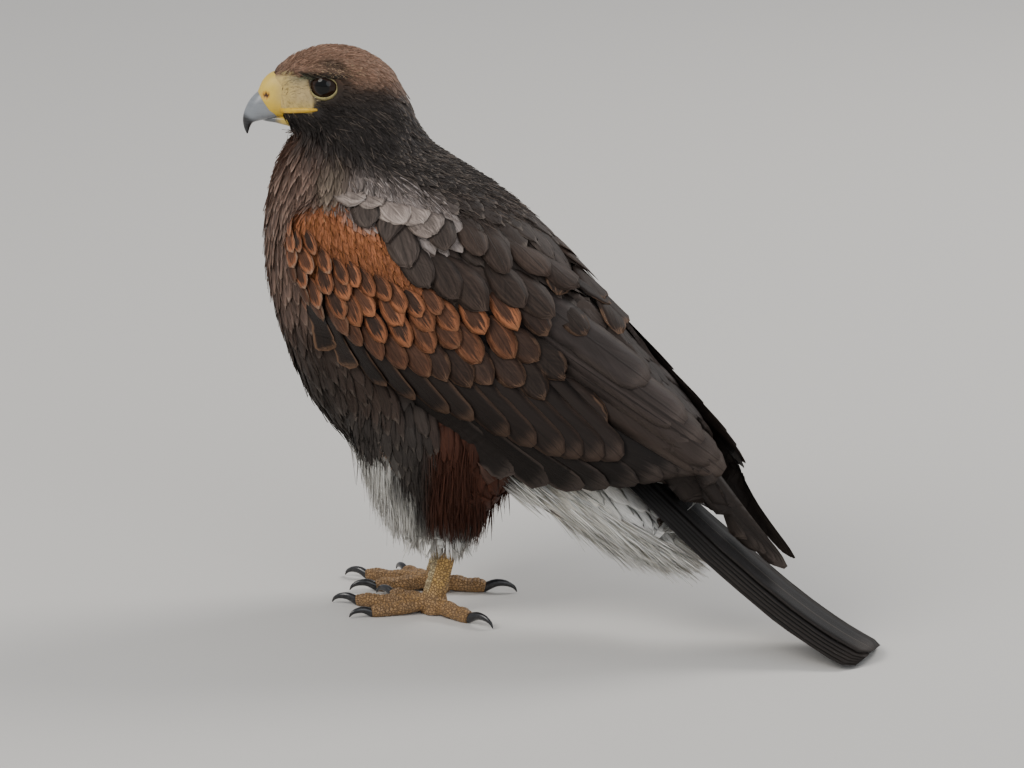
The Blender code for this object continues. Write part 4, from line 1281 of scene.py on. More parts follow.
def body_roots():
    """Roots of the small feathers over the whole body, with their faces."""
    def spacing(places):
        return np.clip(field(places)[:, 4] * 0.52, 1.25, 8.0)

    roots, picks, normals = scatter(spacing, BODY_ROOT_SEED)
    local = head_places(roots)
    lx, ly, lz = one_sided(local).T
    x, z = roots[:, 0], roots[:, 2]
    on_head = z > HEAD_FLOOR
    bare = bare_lores(local) > 0.5
    face = (lx < -35.5) & ((lz < 12.5) | (lx < -41.5))
    from_eye = np.hypot((lx - EYE_CENTRE[0] + 1.6) / 9.8, (lz - EYE_CENTRE[2] + 0.3) / 8.2)
    eye = (ly > 10) & (from_eye < 1.0) & (lz < EYE_CENTRE[2] + 6.0)
    gape = (lx < -14.5) & (lz > -4.4) & (lz < 0)
    chin = (lx < -25) & (lz < -11.5)
    station, share, away = wing_share(roots).T
    on_wing = (away < WING_REACH) & (normals[:, 1] * np.sign(roots[:, 1]) > 0.1)
    flights = (flight_zone(station, share) > FLIGHT_ZONE) & (station > 1.2)
    flights &= (share > 0.03) & (share < 1.0)
    rows = (z < median_line(x) + 8) & (station > 0.3) & (share < 0.99) & (x < 100)
    rump = (x > 150) | (z < 40) | ((x > 96) & (z > 96))
    keep = ~(on_head & (bare | face | eye | gape | chin) | on_wing & (flights | rows) | rump)
    roots, picks, normals = roots[keep], picks[keep], normals[keep]
    seen = ~covered(roots, normals)
    return roots[seen], picks[seen]


def sheen_band(points):
    """1 on the band along the top of the shoulder where a pale sheen of skylight is painted."""
    x, z = points[:, 0], points[:, 2]
    band = between(x, -39, 16, 5) * smooth_step(z + 0.22 * x, 226, 234)
    return band * smooth_step(np.abs(points[:, 1]), 26, 34)


def hanging(points):
    """1 at the front of the trousers, where the feathers hang free of the leg."""
    x, z = points[:, 0], points[:, 2]
    front = smooth_step(-x, 0, 20) * between(z, 54, 90, 14) * (x > -62)
    return front * smooth_step(np.abs(points[:, 1]), 5, 14)


def build_body_feathers():
    """The small feathers, laid over the skin and parted into pieces by region."""
    chance = np.random.default_rng(BODY_SEED)
    roots, picks = body_roots()
    values = field(roots)
    tint, heart, fringe = markings(roots)
    count = len(roots)
    headings = values[:, :3] + chance.normal(0, 0.07, (count, 3))
    x, z = roots[:, 0], roots[:, 2]
    lengths = values[:, 3] * chance.uniform(0.86, 1.12, count)
    widths = values[:, 4] * chance.uniform(0.85, 1.1, count)
    point = np.clip(values[:, 6] + chance.normal(0, 0.12, count), 0, 1)[:, None]
    halves = (ROUND * (1 - point) + POINTED * point) * (widths / 2)[:, None]
    halves *= chance.uniform(0.92, 1.08, halves.shape)
    lifts = np.stack([np.full(count, -0.25), values[:, 5] * chance.uniform(0.75, 1.15, count)], axis=1)
    loose = smooth_step(-z, -62, -46) * (np.abs(x) < 60)
    lifts[:, 1] += loose * chance.uniform(0, 1.4, count)
    lengths = lengths * (1 - 0.25 * loose)
    headings[:, 2] -= loose
    lifts[:, 1] += hanging(roots) * chance.uniform(0.3, 2.5, count)
    tint = tint * chance.uniform(0.86, 1.14, (count, 1))
    regions = {
        "head_feathers": neck_height(roots) > 268,
        "undertail_feathers": (x > 52) & (z < 108),
        "trouser_feathers": (z < 132) & (x > -58) & (np.abs(roots[:, 1]) > 3),
        "back_feathers": x > 0,
        "neck_feathers": z > 238,
        "breast_feathers": np.ones(count, bool),
    }
    taken = np.zeros(count, bool)
    pieces = []
    for number, (name, inside) in enumerate(regions.items()):
        mine = inside & ~taken
        taken |= mine
        grid = lay(State.surface, roots[mine], headings[mine], lengths[mine], SHARES,
                   halves[mine], lifts[mine])
        well = lies_well(grid, lengths[mine], halves[mine])
        grid = worn_tips(grid[well], chance, 0.22)
        places = small_patches(State.skin_map[picks[mine]][well])
        marks = (tint[mine][well], heart[mine][well], fringe[mine][well])
        pieces.append(feather_mesh(name, grid, *marks, places, BODY_LUCK_SEED + number))
    return pieces


HANGING_WISPS = ("hem_wisps", "undertail_wisps")

# Loose hair-like feathers: the region's name, how many to the square
# centimetre, length, width, lift at the tip, and how far they scatter. The
# strands of hem and undertail hang free and have no use for a lift
WISPS = (
    ("hem_wisps", 105, (14, 32), 0.90, (1.0, 6.5), 0.12),
    ("undertail_wisps", 130, (17, 38), 1.35, (1.5, 5.5), 0.12),
    ("head_wisps", 105, (4.0, 8.0), 0.38, (0.7, 1.5), 0.16),
    ("neck_wisps", 60, (8, 15), 0.60, (1.2, 3.2), 0.22),
    ("sheen_wisps", 26, (8, 13), 0.75, (2.6, 3.4), 0.10),
    ("shoulder_wisps", 78, (5, 9), 0.62, (1.1, 2.0), 0.12),
    ("breast_wisps", 9, (14, 24), 0.90, (2.0, 3.6), 0.12),
    ("lore_wisps", 80, (2.2, 4.5), 0.20, (0.5, 1.6), 0.25),
)


def wisp_zone(name, points):
    """How thickly one kind of wisp grows at many places."""
    local = head_places(points)
    forward, rise = local[:, 0], local[:, 2]
    x, across, z = one_sided(points).T
    head = smooth_step(neck_height(points), 260, 270)
    bare = head * bare_lores(local)
    face = head * (forward < -36)
    eye = head * (np.hypot(forward - EYE_CENTRE[0], rise - EYE_CENTRE[2]) < 10.5)
    gape = head * (forward < -14.5) * (rise > -5.5) * (rise < 0)
    feathered = (1 - bare) * (1 - face) * (1 - eye) * (1 - gape)
    feathered = feathered * (1 - head * (forward < -20) * (rise < -9))
    if name == "lore_wisps":
        upper = 0.15 + 0.85 * smooth_step(rise + 0.3 * forward, -6, 6)
        return bare * (1 - face) * (1 - eye) * upper
    if name == "head_wisps":
        return head * feathered * (0.35 + 0.65 * smooth_step(forward, -30, 0))
    # Painted sheen: these pale wisps grow on the band where the skylight's sheen is painted
    if name == "sheen_wisps":
        return sheen_band(points) * (across > 30) * (z < 256)
    if name == "neck_wisps":
        return feathered * between(z, 240, 285, 8) * (0.35 + smooth_step(forward, 8, 24))
    if name == "hem_wisps":
        rear = 0.16 * smooth_step(x, 0, 14) * smooth_fall(z, 100, 124)
        all_round = 0.10 * smooth_fall(z, 84, 104) + 0.75 * smooth_fall(z, 58, 84) + rear
        share = np.maximum(all_round, 0.9 * hanging(points))
        return smooth_step(z, 42, 50) * between(x, -56, 40, 5) * share * smooth_step(across, 4, 12)
    if name == "undertail_wisps":
        under_tail = smooth_step(x, 50, 62) * smooth_fall(z + 0.62 * x, 136, 150)
        return under_tail * (x < 146) * (across < 31)
    if name == "shoulder_wisps":
        return (markings(points)[0][:, 0] > 0.2) * (across > 44).astype(float)
    return smooth_step(-x, 0, 30) * between(z, 90, 240, 10) * (across < 44)


def wisp_tint(name, tint, roots, chance):
    """The colours of one kind of wisp, from the coat's own under it."""
    count = len(roots)
    if name == "shoulder_wisps":
        tint = mix(tint, (0.42, 0.17, 0.06), 0.5)
    elif name == "lore_wisps":
        tint = np.where(chance.random((count, 1)) < 0.22, (0.20, 0.16, 0.11), (0.48, 0.41, 0.27))
    elif name in ("head_wisps", "neck_wisps"):
        pale = chance.random((count, 1)) < (0.14 if name == "head_wisps" else 0.20)
        tint = np.where(pale, np.clip(tint * 1.6 + np.array((0.055, 0.042, 0.032)), 0, 0.5), tint)
    elif name == "hem_wisps":
        front = hanging(roots)
        low = smooth_fall(roots[:, 2], 56 + 34 * front, 72 + 40 * front)
        tint = mix(tint, (0.66, 0.64, 0.60), low * chance.uniform(0.3, 1.0, count))
    elif name == "undertail_wisps":
        tint = mix(WHITE, CREAM * 0.85, chance.random(count))
        tint = np.where(chance.random((count, 1)) < 0.02, (0.22, 0.20, 0.185), tint)
    # Painted sheen: pale grey wisps that carry the sheen painted over the top of the shoulder
    elif name == "sheen_wisps":
        tint = mix((0.36, 0.315, 0.30), (0.20, 0.165, 0.15), chance.random(count))
    return np.clip(tint * chance.uniform(0.75, 1.2, (count, 1)), 0, 1)


def build_wisps():
    """Fine loose feathers that soften hem, undertail, head, neck and shoulder."""
    pieces = []
    for number, (name, dense, length, width, lift, stray) in enumerate(WISPS):
        chance = np.random.default_rng(WISP_SEED + number)
        gap = 10 / math.sqrt(dense)
        roots, picks, normals = scatter(lambda places: np.full(len(places), gap), WISP_ROOT_SEED + number,
                                        lambda places: wisp_zone(name, places))
        seen = ~covered(roots, normals)
        if name == "undertail_wisps":
            seen &= normals[:, 2] < 0.15
        roots, picks, normals = roots[seen], picks[seen], normals[seen]
        count = len(roots)
        headings = field(roots)[:, :3] + chance.normal(0, stray, (count, 3))
        if name == "hem_wisps":
            headings += np.array([0.0, 0.0, -1.6])
            headings[:, 0] -= 0.5 * hanging(roots)
        lengths = chance.uniform(*length, count)
        halves = (POINTED * 0.9 + 0.04) * (width / 2 * chance.uniform(0.7, 1.2, count))[:, None]
        lifts = np.stack([np.full(count, -0.2), chance.uniform(*lift, count)], axis=1)
        if name == "hem_wisps":
            lifts[:, 1] += hanging(roots) * chance.uniform(1.0, 8.0, count)
        tint, heart, fringe = markings(roots)
        tint = wisp_tint(name, tint, roots, chance)
        heart[:, 3] = 0
        fringe[:, 3] *= 0.4
        if name in HANGING_WISPS:
            grid = hang(name, roots, normals, headings, lengths, halves[:, ::2], chance)
            well = under_roof(grid[:, -1, 1]) | (name == "hem_wisps")
            grid = grid[well]
        else:
            grid = lay(State.surface, roots, headings, lengths, SHARES, halves, lifts)
            well = lies_well(grid, lengths, np.maximum(halves, 0.6))
            grid = grid[well][:, ::2, ::2]
        pieces.append(feather_mesh(name, grid, tint[well], heart[well], fringe[well],
                                   small_patches(State.skin_map[picks[well]]), WISP_LUCK_SEED + number))
    return pieces


def under_roof(ends):
    """Which strands' ends lie under the wings' lower edges and the tail."""
    under_wing = np.interp(ends[:, 0], (60, 82, 110, 138, 160), (94, 86, 79, 80, 80))
    under_tail = np.interp(ends[:, 0], TAIL_LINE[:, 0], TAIL_LINE[:, 1] - 9)
    return ends[:, 2] < np.minimum(under_wing, under_tail)


def hang(name, roots, normals, headings, lengths, halves, chance):
    """Strands that leave the skin and run nearly straight, as a grid of points for each."""
    count = len(roots)
    # Without a seed of its own this noise starts from the clock
    noise.seed_set(CLUMP_SEED)
    clumps = np.array([noise.noise_vector(Vector(root) * 0.11) for root in roots])
    if name == "hem_wisps":
        down = np.array([0.0, 0.0, -1.0])
        ways = 1.3 * down + normals * (normals[:, 2:] + 0.06) + 0.10 * headings
        ways += 0.22 * clumps + chance.normal(0, 0.07, (count, 3))
        lengths = np.clip(roots[:, 2] - chance.uniform(33, 50, count), 6, lengths)
    else:
        ways = 0.3 * headings / np.linalg.norm(headings, axis=1)[:, None]
        ways = ways + np.array([0.62, 0.0, -0.34]) + 0.06 * normals
        ways += 0.10 * clumps + chance.normal(0, 0.030, (count, 3))
        lengths = np.minimum(lengths, 172 - roots[:, 0])
    ways /= np.linalg.norm(ways, axis=1)[:, None]
    sides = np.cross(normals + chance.normal(0, 0.25, (count, 3)), ways)
    sides /= np.maximum(np.linalg.norm(sides, axis=1), 0.001)[:, None]
    above = np.cross(ways, sides)
    bend = lengths * chance.normal(-0.03, 0.06, count)
    middle = roots[:, None] - 0.5 * normals[:, None] + ways[:, None] * (lengths[:, None] * FEW)[..., None]
    middle = middle + above[:, None] * (bend[:, None] * FEW**2)[..., None]
    across = sides[:, None] * halves[..., None]
    return np.stack([middle - across, middle + 0.12 * above[:, None], middle + across], axis=2)


def sheet(rows, halves, fall):
    """A surface along a ridge of x and z, that falls away to both sides."""
    count, columns = 60, 27
    line = along_line(rows, count)
    across = np.linspace(-1.3, 1.3, columns)
    wide = np.interp(np.linspace(0, 1, count), np.linspace(0, 1, len(halves)), halves)
    y = wide[:, None] * across
    points = np.stack([np.repeat(line[:, :1], columns, axis=1), y, line[:, 1:] - fall * y**2], axis=2)
    index = np.arange(count * columns).reshape(count, columns)
    faces = [
        (index[i, j], index[i + 1, j], index[i + 1, j + 1], index[i, j + 1])
        for i in range(count - 1) for j in range(columns - 1)
    ]
    return Surface(points.reshape(-1, 3), faces)


def sheet_feathers(name, surface, rows, length, width, lift, tints, seed):
    """Rows of feathers across a sheet: each row x, z, how many, and half the span."""
    chance = np.random.default_rng(seed)
    roots, headings = [], []
    for x, z, count, span in rows:
        for place in np.linspace(-1, 1, count):
            roots.append((x + chance.normal(0, 1.2), span * place + chance.normal(0, 0.8), z))
            headings.append((1.0, 0.10 * place, -1.0))
    count = len(roots)
    lengths = chance.uniform(*length, count)
    halves = BLUNT * (chance.uniform(*width, count) / 2)[:, None]
    lifts = np.tile(np.array(lift, float), (count, 1)) + chance.normal(0, 0.25, (count, 2))
    grid = lay(surface, np.array(roots), np.array(headings), lengths, SHARES, halves, lifts)
    share = np.linspace(0, 1, count)
    tint = mix(tints[0], tints[1], share) * chance.uniform(0.88, 1.1, (count, 1))
    heart = repeated((*SOOTY, 0.15), count)
    fringe = np.column_stack([np.clip(tint * 1.5, 0, 0.9), np.full(count, 0.5)])
    patches = small_patches(np.column_stack([0.1 + 0.8 * share, np.full(count, 0.5)]))
    return feather_mesh(name, worn_tips(grid, chance, 0.15), tint, heart, fringe, patches, seed)


RIDGE = ((30, 240), (56, 221), (84, 196), (112, 170), (138, 145), (160, 122), (178, 100))
TAIL_ROOT = ((96, 122), (115, 107), (135, 92), (155, 77), (175, 62))


def build_ridge():
    """The long feathers of the back that close the gap between the folded wings."""
    surface = sheet(RIDGE, (20, 18, 15, 13, 12, 11, 11), 0.014)
    rows = [(x, z + 2, 5, span) for x, z, span in (
        (46, 228, 17), (58, 219, 15), (70, 208, 13), (82, 198, 12), (94, 186, 11), (106, 175, 10.5),
        (117, 165, 10), (127, 155, 9.5), (136, 146, 9),
    )]
    return sheet_feathers("back_ridge", surface, rows, (30, 36), (13, 16), (-1.0, 0.6),
                          ((0.055, 0.042, 0.036), (0.036, 0.029, 0.026)), RIDGE_SEED)


def build_tail_coverts():
    """White coverts over the root of the tail, under the wings."""
    surface = sheet(TAIL_ROOT, (20, 22, 24, 24, 24), 0.006)
    rows = [(100, 120, 4, 8), (108, 113, 4, 8), (116, 107, 4, 9)]
    return sheet_feathers("tail_coverts", surface, rows, (20, 26), (10, 13), (-0.5, 1.0),
                          (WHITE, CREAM), TAIL_COVERT_SEED)


def covert_colours(name, x, chance):
    """Tint, heart and fringe for a row of coverts, from front to back."""
    count = len(x)
    tint = dark = repeated(BROWN * 0.62, count)
    heart_amount, fringe_amount = np.full(count, 0.3), np.full(count, 0.55)
    fringe_colour = repeated((0.20, 0.115, 0.07), count)
    if name.startswith("median"):
        # The rufous at the front, and again further back, by row
        again = {"median_upper": 1.0, "median_middle": 0.55}.get(name, 0.2)
        red = np.maximum(smooth_fall(x, 14, 40), between(x, 34, 76, 8) * again)
        if name == "median_lower":
            red *= 0.35
        tint = mix(dark, RUFOUS * (0.66 if name in ("median_middle", "median_lower") else 0.82), red)
        heart_amount = (0.35 + 0.6 * red) * chance.uniform(0.75, 1.0, count)
        front = smooth_fall(x, -44, -22)
        fringe_colour = mix(mix(fringe_colour, (0.27, 0.125, 0.058), red), (0.34, 0.25, 0.18), front)
        fringe_amount = (0.45 + 0.2 * red + 0.05 * front) * chance.uniform(0.45, 1.1, count)
    elif name.startswith("scapular"):
        # Painted sheen: the front and upper scapulars are mixed towards pale grey for the skylight their
        # upper faces reflect, and their fringes follow that tint
        sheen_peak = {"scapular_cap": 1.0, "scapular_upper": 0.6}.get(name, 0.10)
        pale = np.maximum(smooth_fall(x, 8, 32) * sheen_peak, 0.75 * smooth_fall(x, -34, -18))
        pale *= chance.uniform(0.6, 1.0, count)
        tint = mix((0.044, 0.031, 0.025), SKY_SHEEN, pale)
        heart_amount = 0.25 + 0.10 * pale
        tint = mix(tint, BROWN * 1.05, smooth_step(x, 24, 50))
        fringe_colour = np.clip(tint * 1.7 + np.array((0.03, 0.022, 0.016)), 0, 0.5)
        fringe_amount = chance.uniform(0.05, 0.4, count)
    tint = tint * chance.uniform(0.88, 1.12, (count, 1))
    heart = np.column_stack([repeated(SOOTY * 1.2, count), heart_amount])
    return tint, heart, np.column_stack([fringe_colour, fringe_amount])


def build_coverts(side):
    """The rows of coverts and scapulars on one wing."""
    surface = State.flanks[side]
    chance = np.random.default_rng(COVERT_SEED + side)
    groups = []
    for name, line, count, length, width, angle, lift in COVERT_ROWS:
        tips = along_line(line, count) + chance.normal(0, 1.3, (count, 2))
        share = np.linspace(0, 1, count)
        lengths = (length[0] + (length[1] - length[0]) * share) * chance.uniform(0.94, 1.06, count)
        widths = (width[0] + (width[1] - width[0]) * share) * chance.uniform(0.93, 1.07, count)
        angles = angle[0] + (angle[1] - angle[0]) * share + chance.normal(0, 2.5, count)
        angles = np.radians(angles)
        ways = np.stack([np.cos(angles), -np.sin(angles)], axis=1)
        starts = flank_samples(surface, tips - ways * lengths[:, None])
        roots, targets = surface.points[starts], surface.points[flank_samples(surface, tips)]
        lengths = np.linalg.norm(targets - roots, axis=1) * 1.02
        halves = BLUNT * (widths / 2)[:, None] * chance.uniform(0.95, 1.05, (count, len(SHARES)))
        lifts = np.array(lift) + chance.normal(0, 0.12, (count, 1))
        grid = lay(surface, roots, targets - roots, lengths, SHARES, halves, lifts, targets,
                   camber=0.07, tilt=0.3)
        grid = worn_tips(grid, chance, 0.10)
        flat = surface.samples[starts] / np.array([12.5, 1.2]) * 0.9 + 0.05
        groups.append((grid, *covert_colours(name, tips[:, 0], chance), flat))
    *parts, flat = (np.concatenate(group) for group in zip(*groups))
    return feather_mesh(side_name("coverts", side), *parts, small_patches(flat), COVERT_LUCK_SEED + side)


def flight_outline(shares, pointed, chance, count):
    """Half widths of long feathers, with worn notches near the tip."""
    base = 0.42 + 0.58 * np.sin(np.clip(shares / 0.45, 0, 1) * math.pi / 2)
    end = np.sqrt(np.clip(1 - ((shares - 0.88) / 0.125) ** 2, 0.02, 1))
    base = np.where(shares > 0.88, base * end, base)
    base = base * (1 - pointed * smooth_step(shares, 0.45, 1.0) * 0.45)
    notches = (chance.random((count, len(shares))) < 0.10) & (shares > 0.55)
    return base * np.where(notches, 1 - 0.12 * chance.random((count, len(shares))), 1.0)


def build_flights(side):
    """Primaries, secondaries, greater coverts and tertials of one wing."""
    surface = State.flanks[side]
    chance = np.random.default_rng(FLIGHT_SEED + side)
    shares = np.linspace(0, 1, 20) ** 0.92
    groups = []
    for name, count, first_root, last_root, first_tip, last_tip, width, lift, bow, skew in FLIGHT_TIERS:
        share = np.linspace(0, 1, count)[:, None]
        root = np.array(first_root) * (1 - share) + np.array(last_root) * share
        tip = np.array(first_tip) * (1 - share) + np.array(last_tip) * share
        tip[:, 0] += bow * np.sin(math.pi * share[:, 0]) + chance.normal(0, 0.05, count)
        roots, targets = flank(root[:, 0], root[:, 1]), flank(tip[:, 0], tip[:, 1])
        if side > 0:
            roots, targets = mirrored_places(roots), mirrored_places(targets)
        lengths = np.linalg.norm(targets - roots, axis=1) * 1.03
        pointed = 0.8 if name == "primaries" else 0.15
        halves = flight_outline(shares, pointed, chance, count) * width / 2
        lifts = repeated(lift, count)
        lifts[:, 1] += np.linspace(0, 0.8, count)
        grid = lay(surface, roots, targets - roots, lengths, shares, halves, lifts, targets,
                   camber=0.05, tilt=0.35, skew=skew * side)
        groups.append((grid, *flight_colours(name, count, share[:, 0], chance)))
    parts = [np.concatenate(group) for group in zip(*groups)]
    return feather_mesh(side_name("flight_feathers", side), *parts, strips(len(parts[0])),
                        FLIGHT_LUCK_SEED + side)


def flight_colours(name, count, share, chance):
    """Tint, heart and fringe for one tier of flight feathers."""
    heart = repeated((*SOOTY, 0.35), count)
    fringe = repeated((0.15, 0.115, 0.095, 0.5), count)
    if name == "primaries":
        tint = repeated(SOOTY * 1.1, count)
        fringe[:, 3] = 0.25
    elif name == "secondaries":
        tint = repeated((0.0110, 0.0083, 0.0070), count)
        fringe[:] = (0.12, 0.09, 0.075, 0.4)
    elif name == "greater_coverts":
        tint = mix((0.0155, 0.0102, 0.0080), (0.020, 0.0140, 0.0115), share)
        fringe[:, :3] = mix((0.22, 0.12, 0.068), (0.12, 0.08, 0.06), share)
        fringe[:, 3] = 0.6 - 0.25 * share
    else:
        tint = mix((0.038, 0.027, 0.022), (0.044, 0.034, 0.031), share)
        fringe[:, 3] = 0.3
    return tint * chance.uniform(0.88, 1.12, (count, 1)), heart, fringe


def build_tail():
    """Twelve long tail feathers, lapped from the middle pair outwards."""
    chance = np.random.default_rng(TAIL_SEED)
    shares = np.linspace(0, 1, 26)
    columns = np.linspace(-1, 1, 5)
    grids = []
    for index in range(6):
        for side in (-1, 1):
            if index == 0:
                middle, half = side * 2.2, TAIL_HALF_WIDTH * 0.46
                drop = 0.75 * (side > 0)
            else:
                outer_edge = TAIL_HALF_WIDTH - 2.6 * (5 - index)
                middle, half = side * (outer_edge + 1.2) / 2, (outer_edge - 1.2) / 2
                drop = 0.75 + 0.85 * index
            ends = shares * (1.0 - 0.004 * index)
            last = len(TAIL_LINE) - 1
            place = ends * last
            line = row_at(TAIL_LINE, place)
            ahead = row_at(TAIL_LINE, np.minimum(place + 0.05, last)) - row_at(TAIL_LINE, place - 0.05)
            ahead /= np.linalg.norm(ahead, axis=1)[:, None]
            upward = np.stack([-ahead[:, 1], ahead[:, 0]], axis=1)
            widen = 0.4 + 0.6 * np.minimum(shares / 0.6, 1.0)
            blunt = np.sqrt(np.clip(1 - np.clip((shares - 0.955) / 0.05, 0, 1) ** 2, 0.12, 1))
            wear = 1 - 0.05 * chance.random(len(shares)) * (shares > 0.5)
            across = (middle * widen)[:, None] + columns * (half * widen * blunt * wear)[:, None]
            sink = drop + 0.002 * across**2 + 0.22 * columns**2 + 0.1
            x = line[:, :1] - upward[:, :1] * sink
            z = line[:, 1:] - upward[:, 1:] * sink
            grids.append(np.stack([x, across, z], axis=2))
    grid = np.array(grids)
    grid[..., 2] = np.maximum(grid[..., 2], 0.4)
    count = len(grid)
    tint = repeated((0.0150, 0.0135, 0.0130), count) * chance.uniform(0.9, 1.15, (count, 1))
    heart = repeated((*SOOTY, 0.2), count)
    fringe = repeated((0.10, 0.08, 0.068, 0.35), count)
    return feather_mesh("tail_feathers", grid, tint, heart, fringe, strips(count), TAIL_LUCK_SEED)


def build_face():
    """Cere and both halves of the bill."""
    cere = sections("cere_skin", FACE, 22, 48)
    points = millimetres(mesh_points(cere))
    local = head_places(points)
    hollow = np.stack([(local[:, 0] - NOSTRIL[0]) / 1.9, (local[:, 2] - NOSTRIL[2]) / 1.15], axis=1)
    pit = np.exp(-np.linalg.norm(hollow, axis=1) ** 2.6) * (np.abs(local[:, 1]) > 3)
    points -= mesh_normals(cere) * (pit * 1.5)[:, None]
    set_points(cere, metres(points))
    set_values(cere, "nostril", pit)
    upper = sections("upper_bill", UPPER_BILL, 40, 40)
    lower = sections("lower_bill", LOWER_BILL, 26, 32)
    return cere, upper, lower


def skin_reach(x, z, side):
    """How far out the head's side lies at one place of its profile."""
    start, end = turn_head([(x, side * 60, z), (x, 0, z)])
    hit = State.surface.tree.ray_cast(Vector(start), Vector(end - start).normalized())[0]
    return 60 - (hit - Vector(start)).length


def build_gape(side):
    """The yellow fold of skin at one corner of the mouth."""
    rows = smooth_rows(np.column_stack([GAPE_LINE, GAPE_RADII]), 18)
    path = [(x, side * (skin_reach(x, z, side) - 0.4), z) for x, z, _ in rows]
    return tube(side_name("gape", side), turn_head(path), rows[:, 2], 14, 0.8)


def from_eye(across, up, depth, side):
    """Places about an eye's centre, from how far they lie across, up and out of it."""
    return (
        EYE_CENTRE[0] + across * math.cos(EYE_AIM) - depth * math.sin(EYE_AIM),
        side * (EYE_CENTRE[1] + across * math.sin(EYE_AIM) + depth * math.cos(EYE_AIM)),
        EYE_CENTRE[2] + up,
    )


def build_eye(side):
    """One eyeball, with its iris and pupil facing out."""
    bpy.ops.mesh.primitive_uv_sphere_add(segments=64, ring_count=40, radius=EYE_RADIUS)
    eye = bpy.context.object
    eye.name = side_name("eyeball", side)
    ball = mesh_points(eye)
    out = ball[:, 2] / EYE_RADIUS
    ball = ball * (1 + 0.055 * smooth_step(out, 0.70, 1.0))[:, None]
    set_values(eye, "outward", out)
    set_points(eye, metres(turn_head(np.stack(from_eye(*ball.T, side), axis=1))))
    eye.data.shade_smooth()
    if not faces_outward(eye):
        eye.data.flip_normals()
    return eye


def faces_outward(obj):
    """Whether a closed mesh has its faces outward, by its volume."""
    form = bmesh.new()
    form.from_mesh(obj.data)
    volume = form.calc_volume(signed=True)
    form.free()
    return volume > 0


def build_lids(side):
    """Upper and lower lid as one rim, wider below, that the eye looks out of."""
    rings = []
    turns, corners = 56, 10
    for step in range(turns):
        angle = 2 * math.pi * step / turns
        across, up = math.cos(angle), math.sin(angle)
        thick = 1.25 - 0.25 * max(up, 0)
        ring = []
        for corner in range(corners):
            lean = 2 * math.pi * corner / corners
            out, lift = math.cos(lean) * thick, math.sin(lean)
            x, z = across * (8.9 + out), up * (7.2 - 0.9 * max(up, 0) + out)
            bed = math.sqrt(max((EYE_RADIUS + 0.45) ** 2 - x * x - z * z, 1.0))
            place = from_eye(x, z, bed + lift * 0.62 + 0.2, side)
            ring.append((place[0], place[1], place[2] - 0.1))
        rings.append(turn_head(ring))
    lids = skin_over(side_name("lids", side), rings, True)
    place = head_places(millimetres(mesh_points(lids)))
    # Painted shadow of the brow: 'shade' rises towards the top of the rim, where the upper lid lies in the
    # brow's shadow
    rise = place[:, 2] - EYE_CENTRE[2] - 0.5 * (place[:, 0] - EYE_CENTRE[0])
    set_values(lids, "shade", smooth_step(rise, 0.5, 5.0))
    return lids


def toe_path(foot, toe, mirror):
    """Points along one toe, its radii there, and the heading of its end."""
    _, bearing, length, thick, thin, _ = toe
    angle = math.radians(bearing) * mirror
    heading = np.array([-math.cos(angle), -math.sin(angle), 0.0])
    points, radii = [], []
    for share, fat in ((0.0, 1.0), (0.28, 0.92), (0.48, 1.05), (0.66, 0.9), (0.85, 1.02), (1.0, 0.8)):
        radius = (thick + (thin - thick) * share) * fat
        height = radius * 0.86 + 3.5 * (1 - share) ** 3
        points.append((foot[0] + heading[0] * length * share, foot[1] + heading[1] * length * share, height))
        radii.append(radius)
    return np.array(points), radii, heading


def claw_rows(start, heading, length, radius):
    """Path and radii of a curved claw whose point comes down to the floor."""
    steps = 5
    points, radii = [np.array(start, float)], [radius]
    for step in range(steps):
        share = step / (steps - 1)
        pitch = math.radians(40 - 112 * share) if step else 0.0
        stride = length / steps if step else 0.8
        points.append(points[-1] + (heading * math.cos(pitch) + np.array([0, 0, math.sin(pitch)])) * stride)
        radii.append(radius * (1 - share**1.4) + 0.3)
    drop = points[-1][2] - 0.6
    sunk = [(x, y, z - drop * (k / steps) ** 2) for k, (x, y, z) in enumerate(points)]
    sunk[1] = tuple(points[1])
    return np.column_stack([sunk, radii])


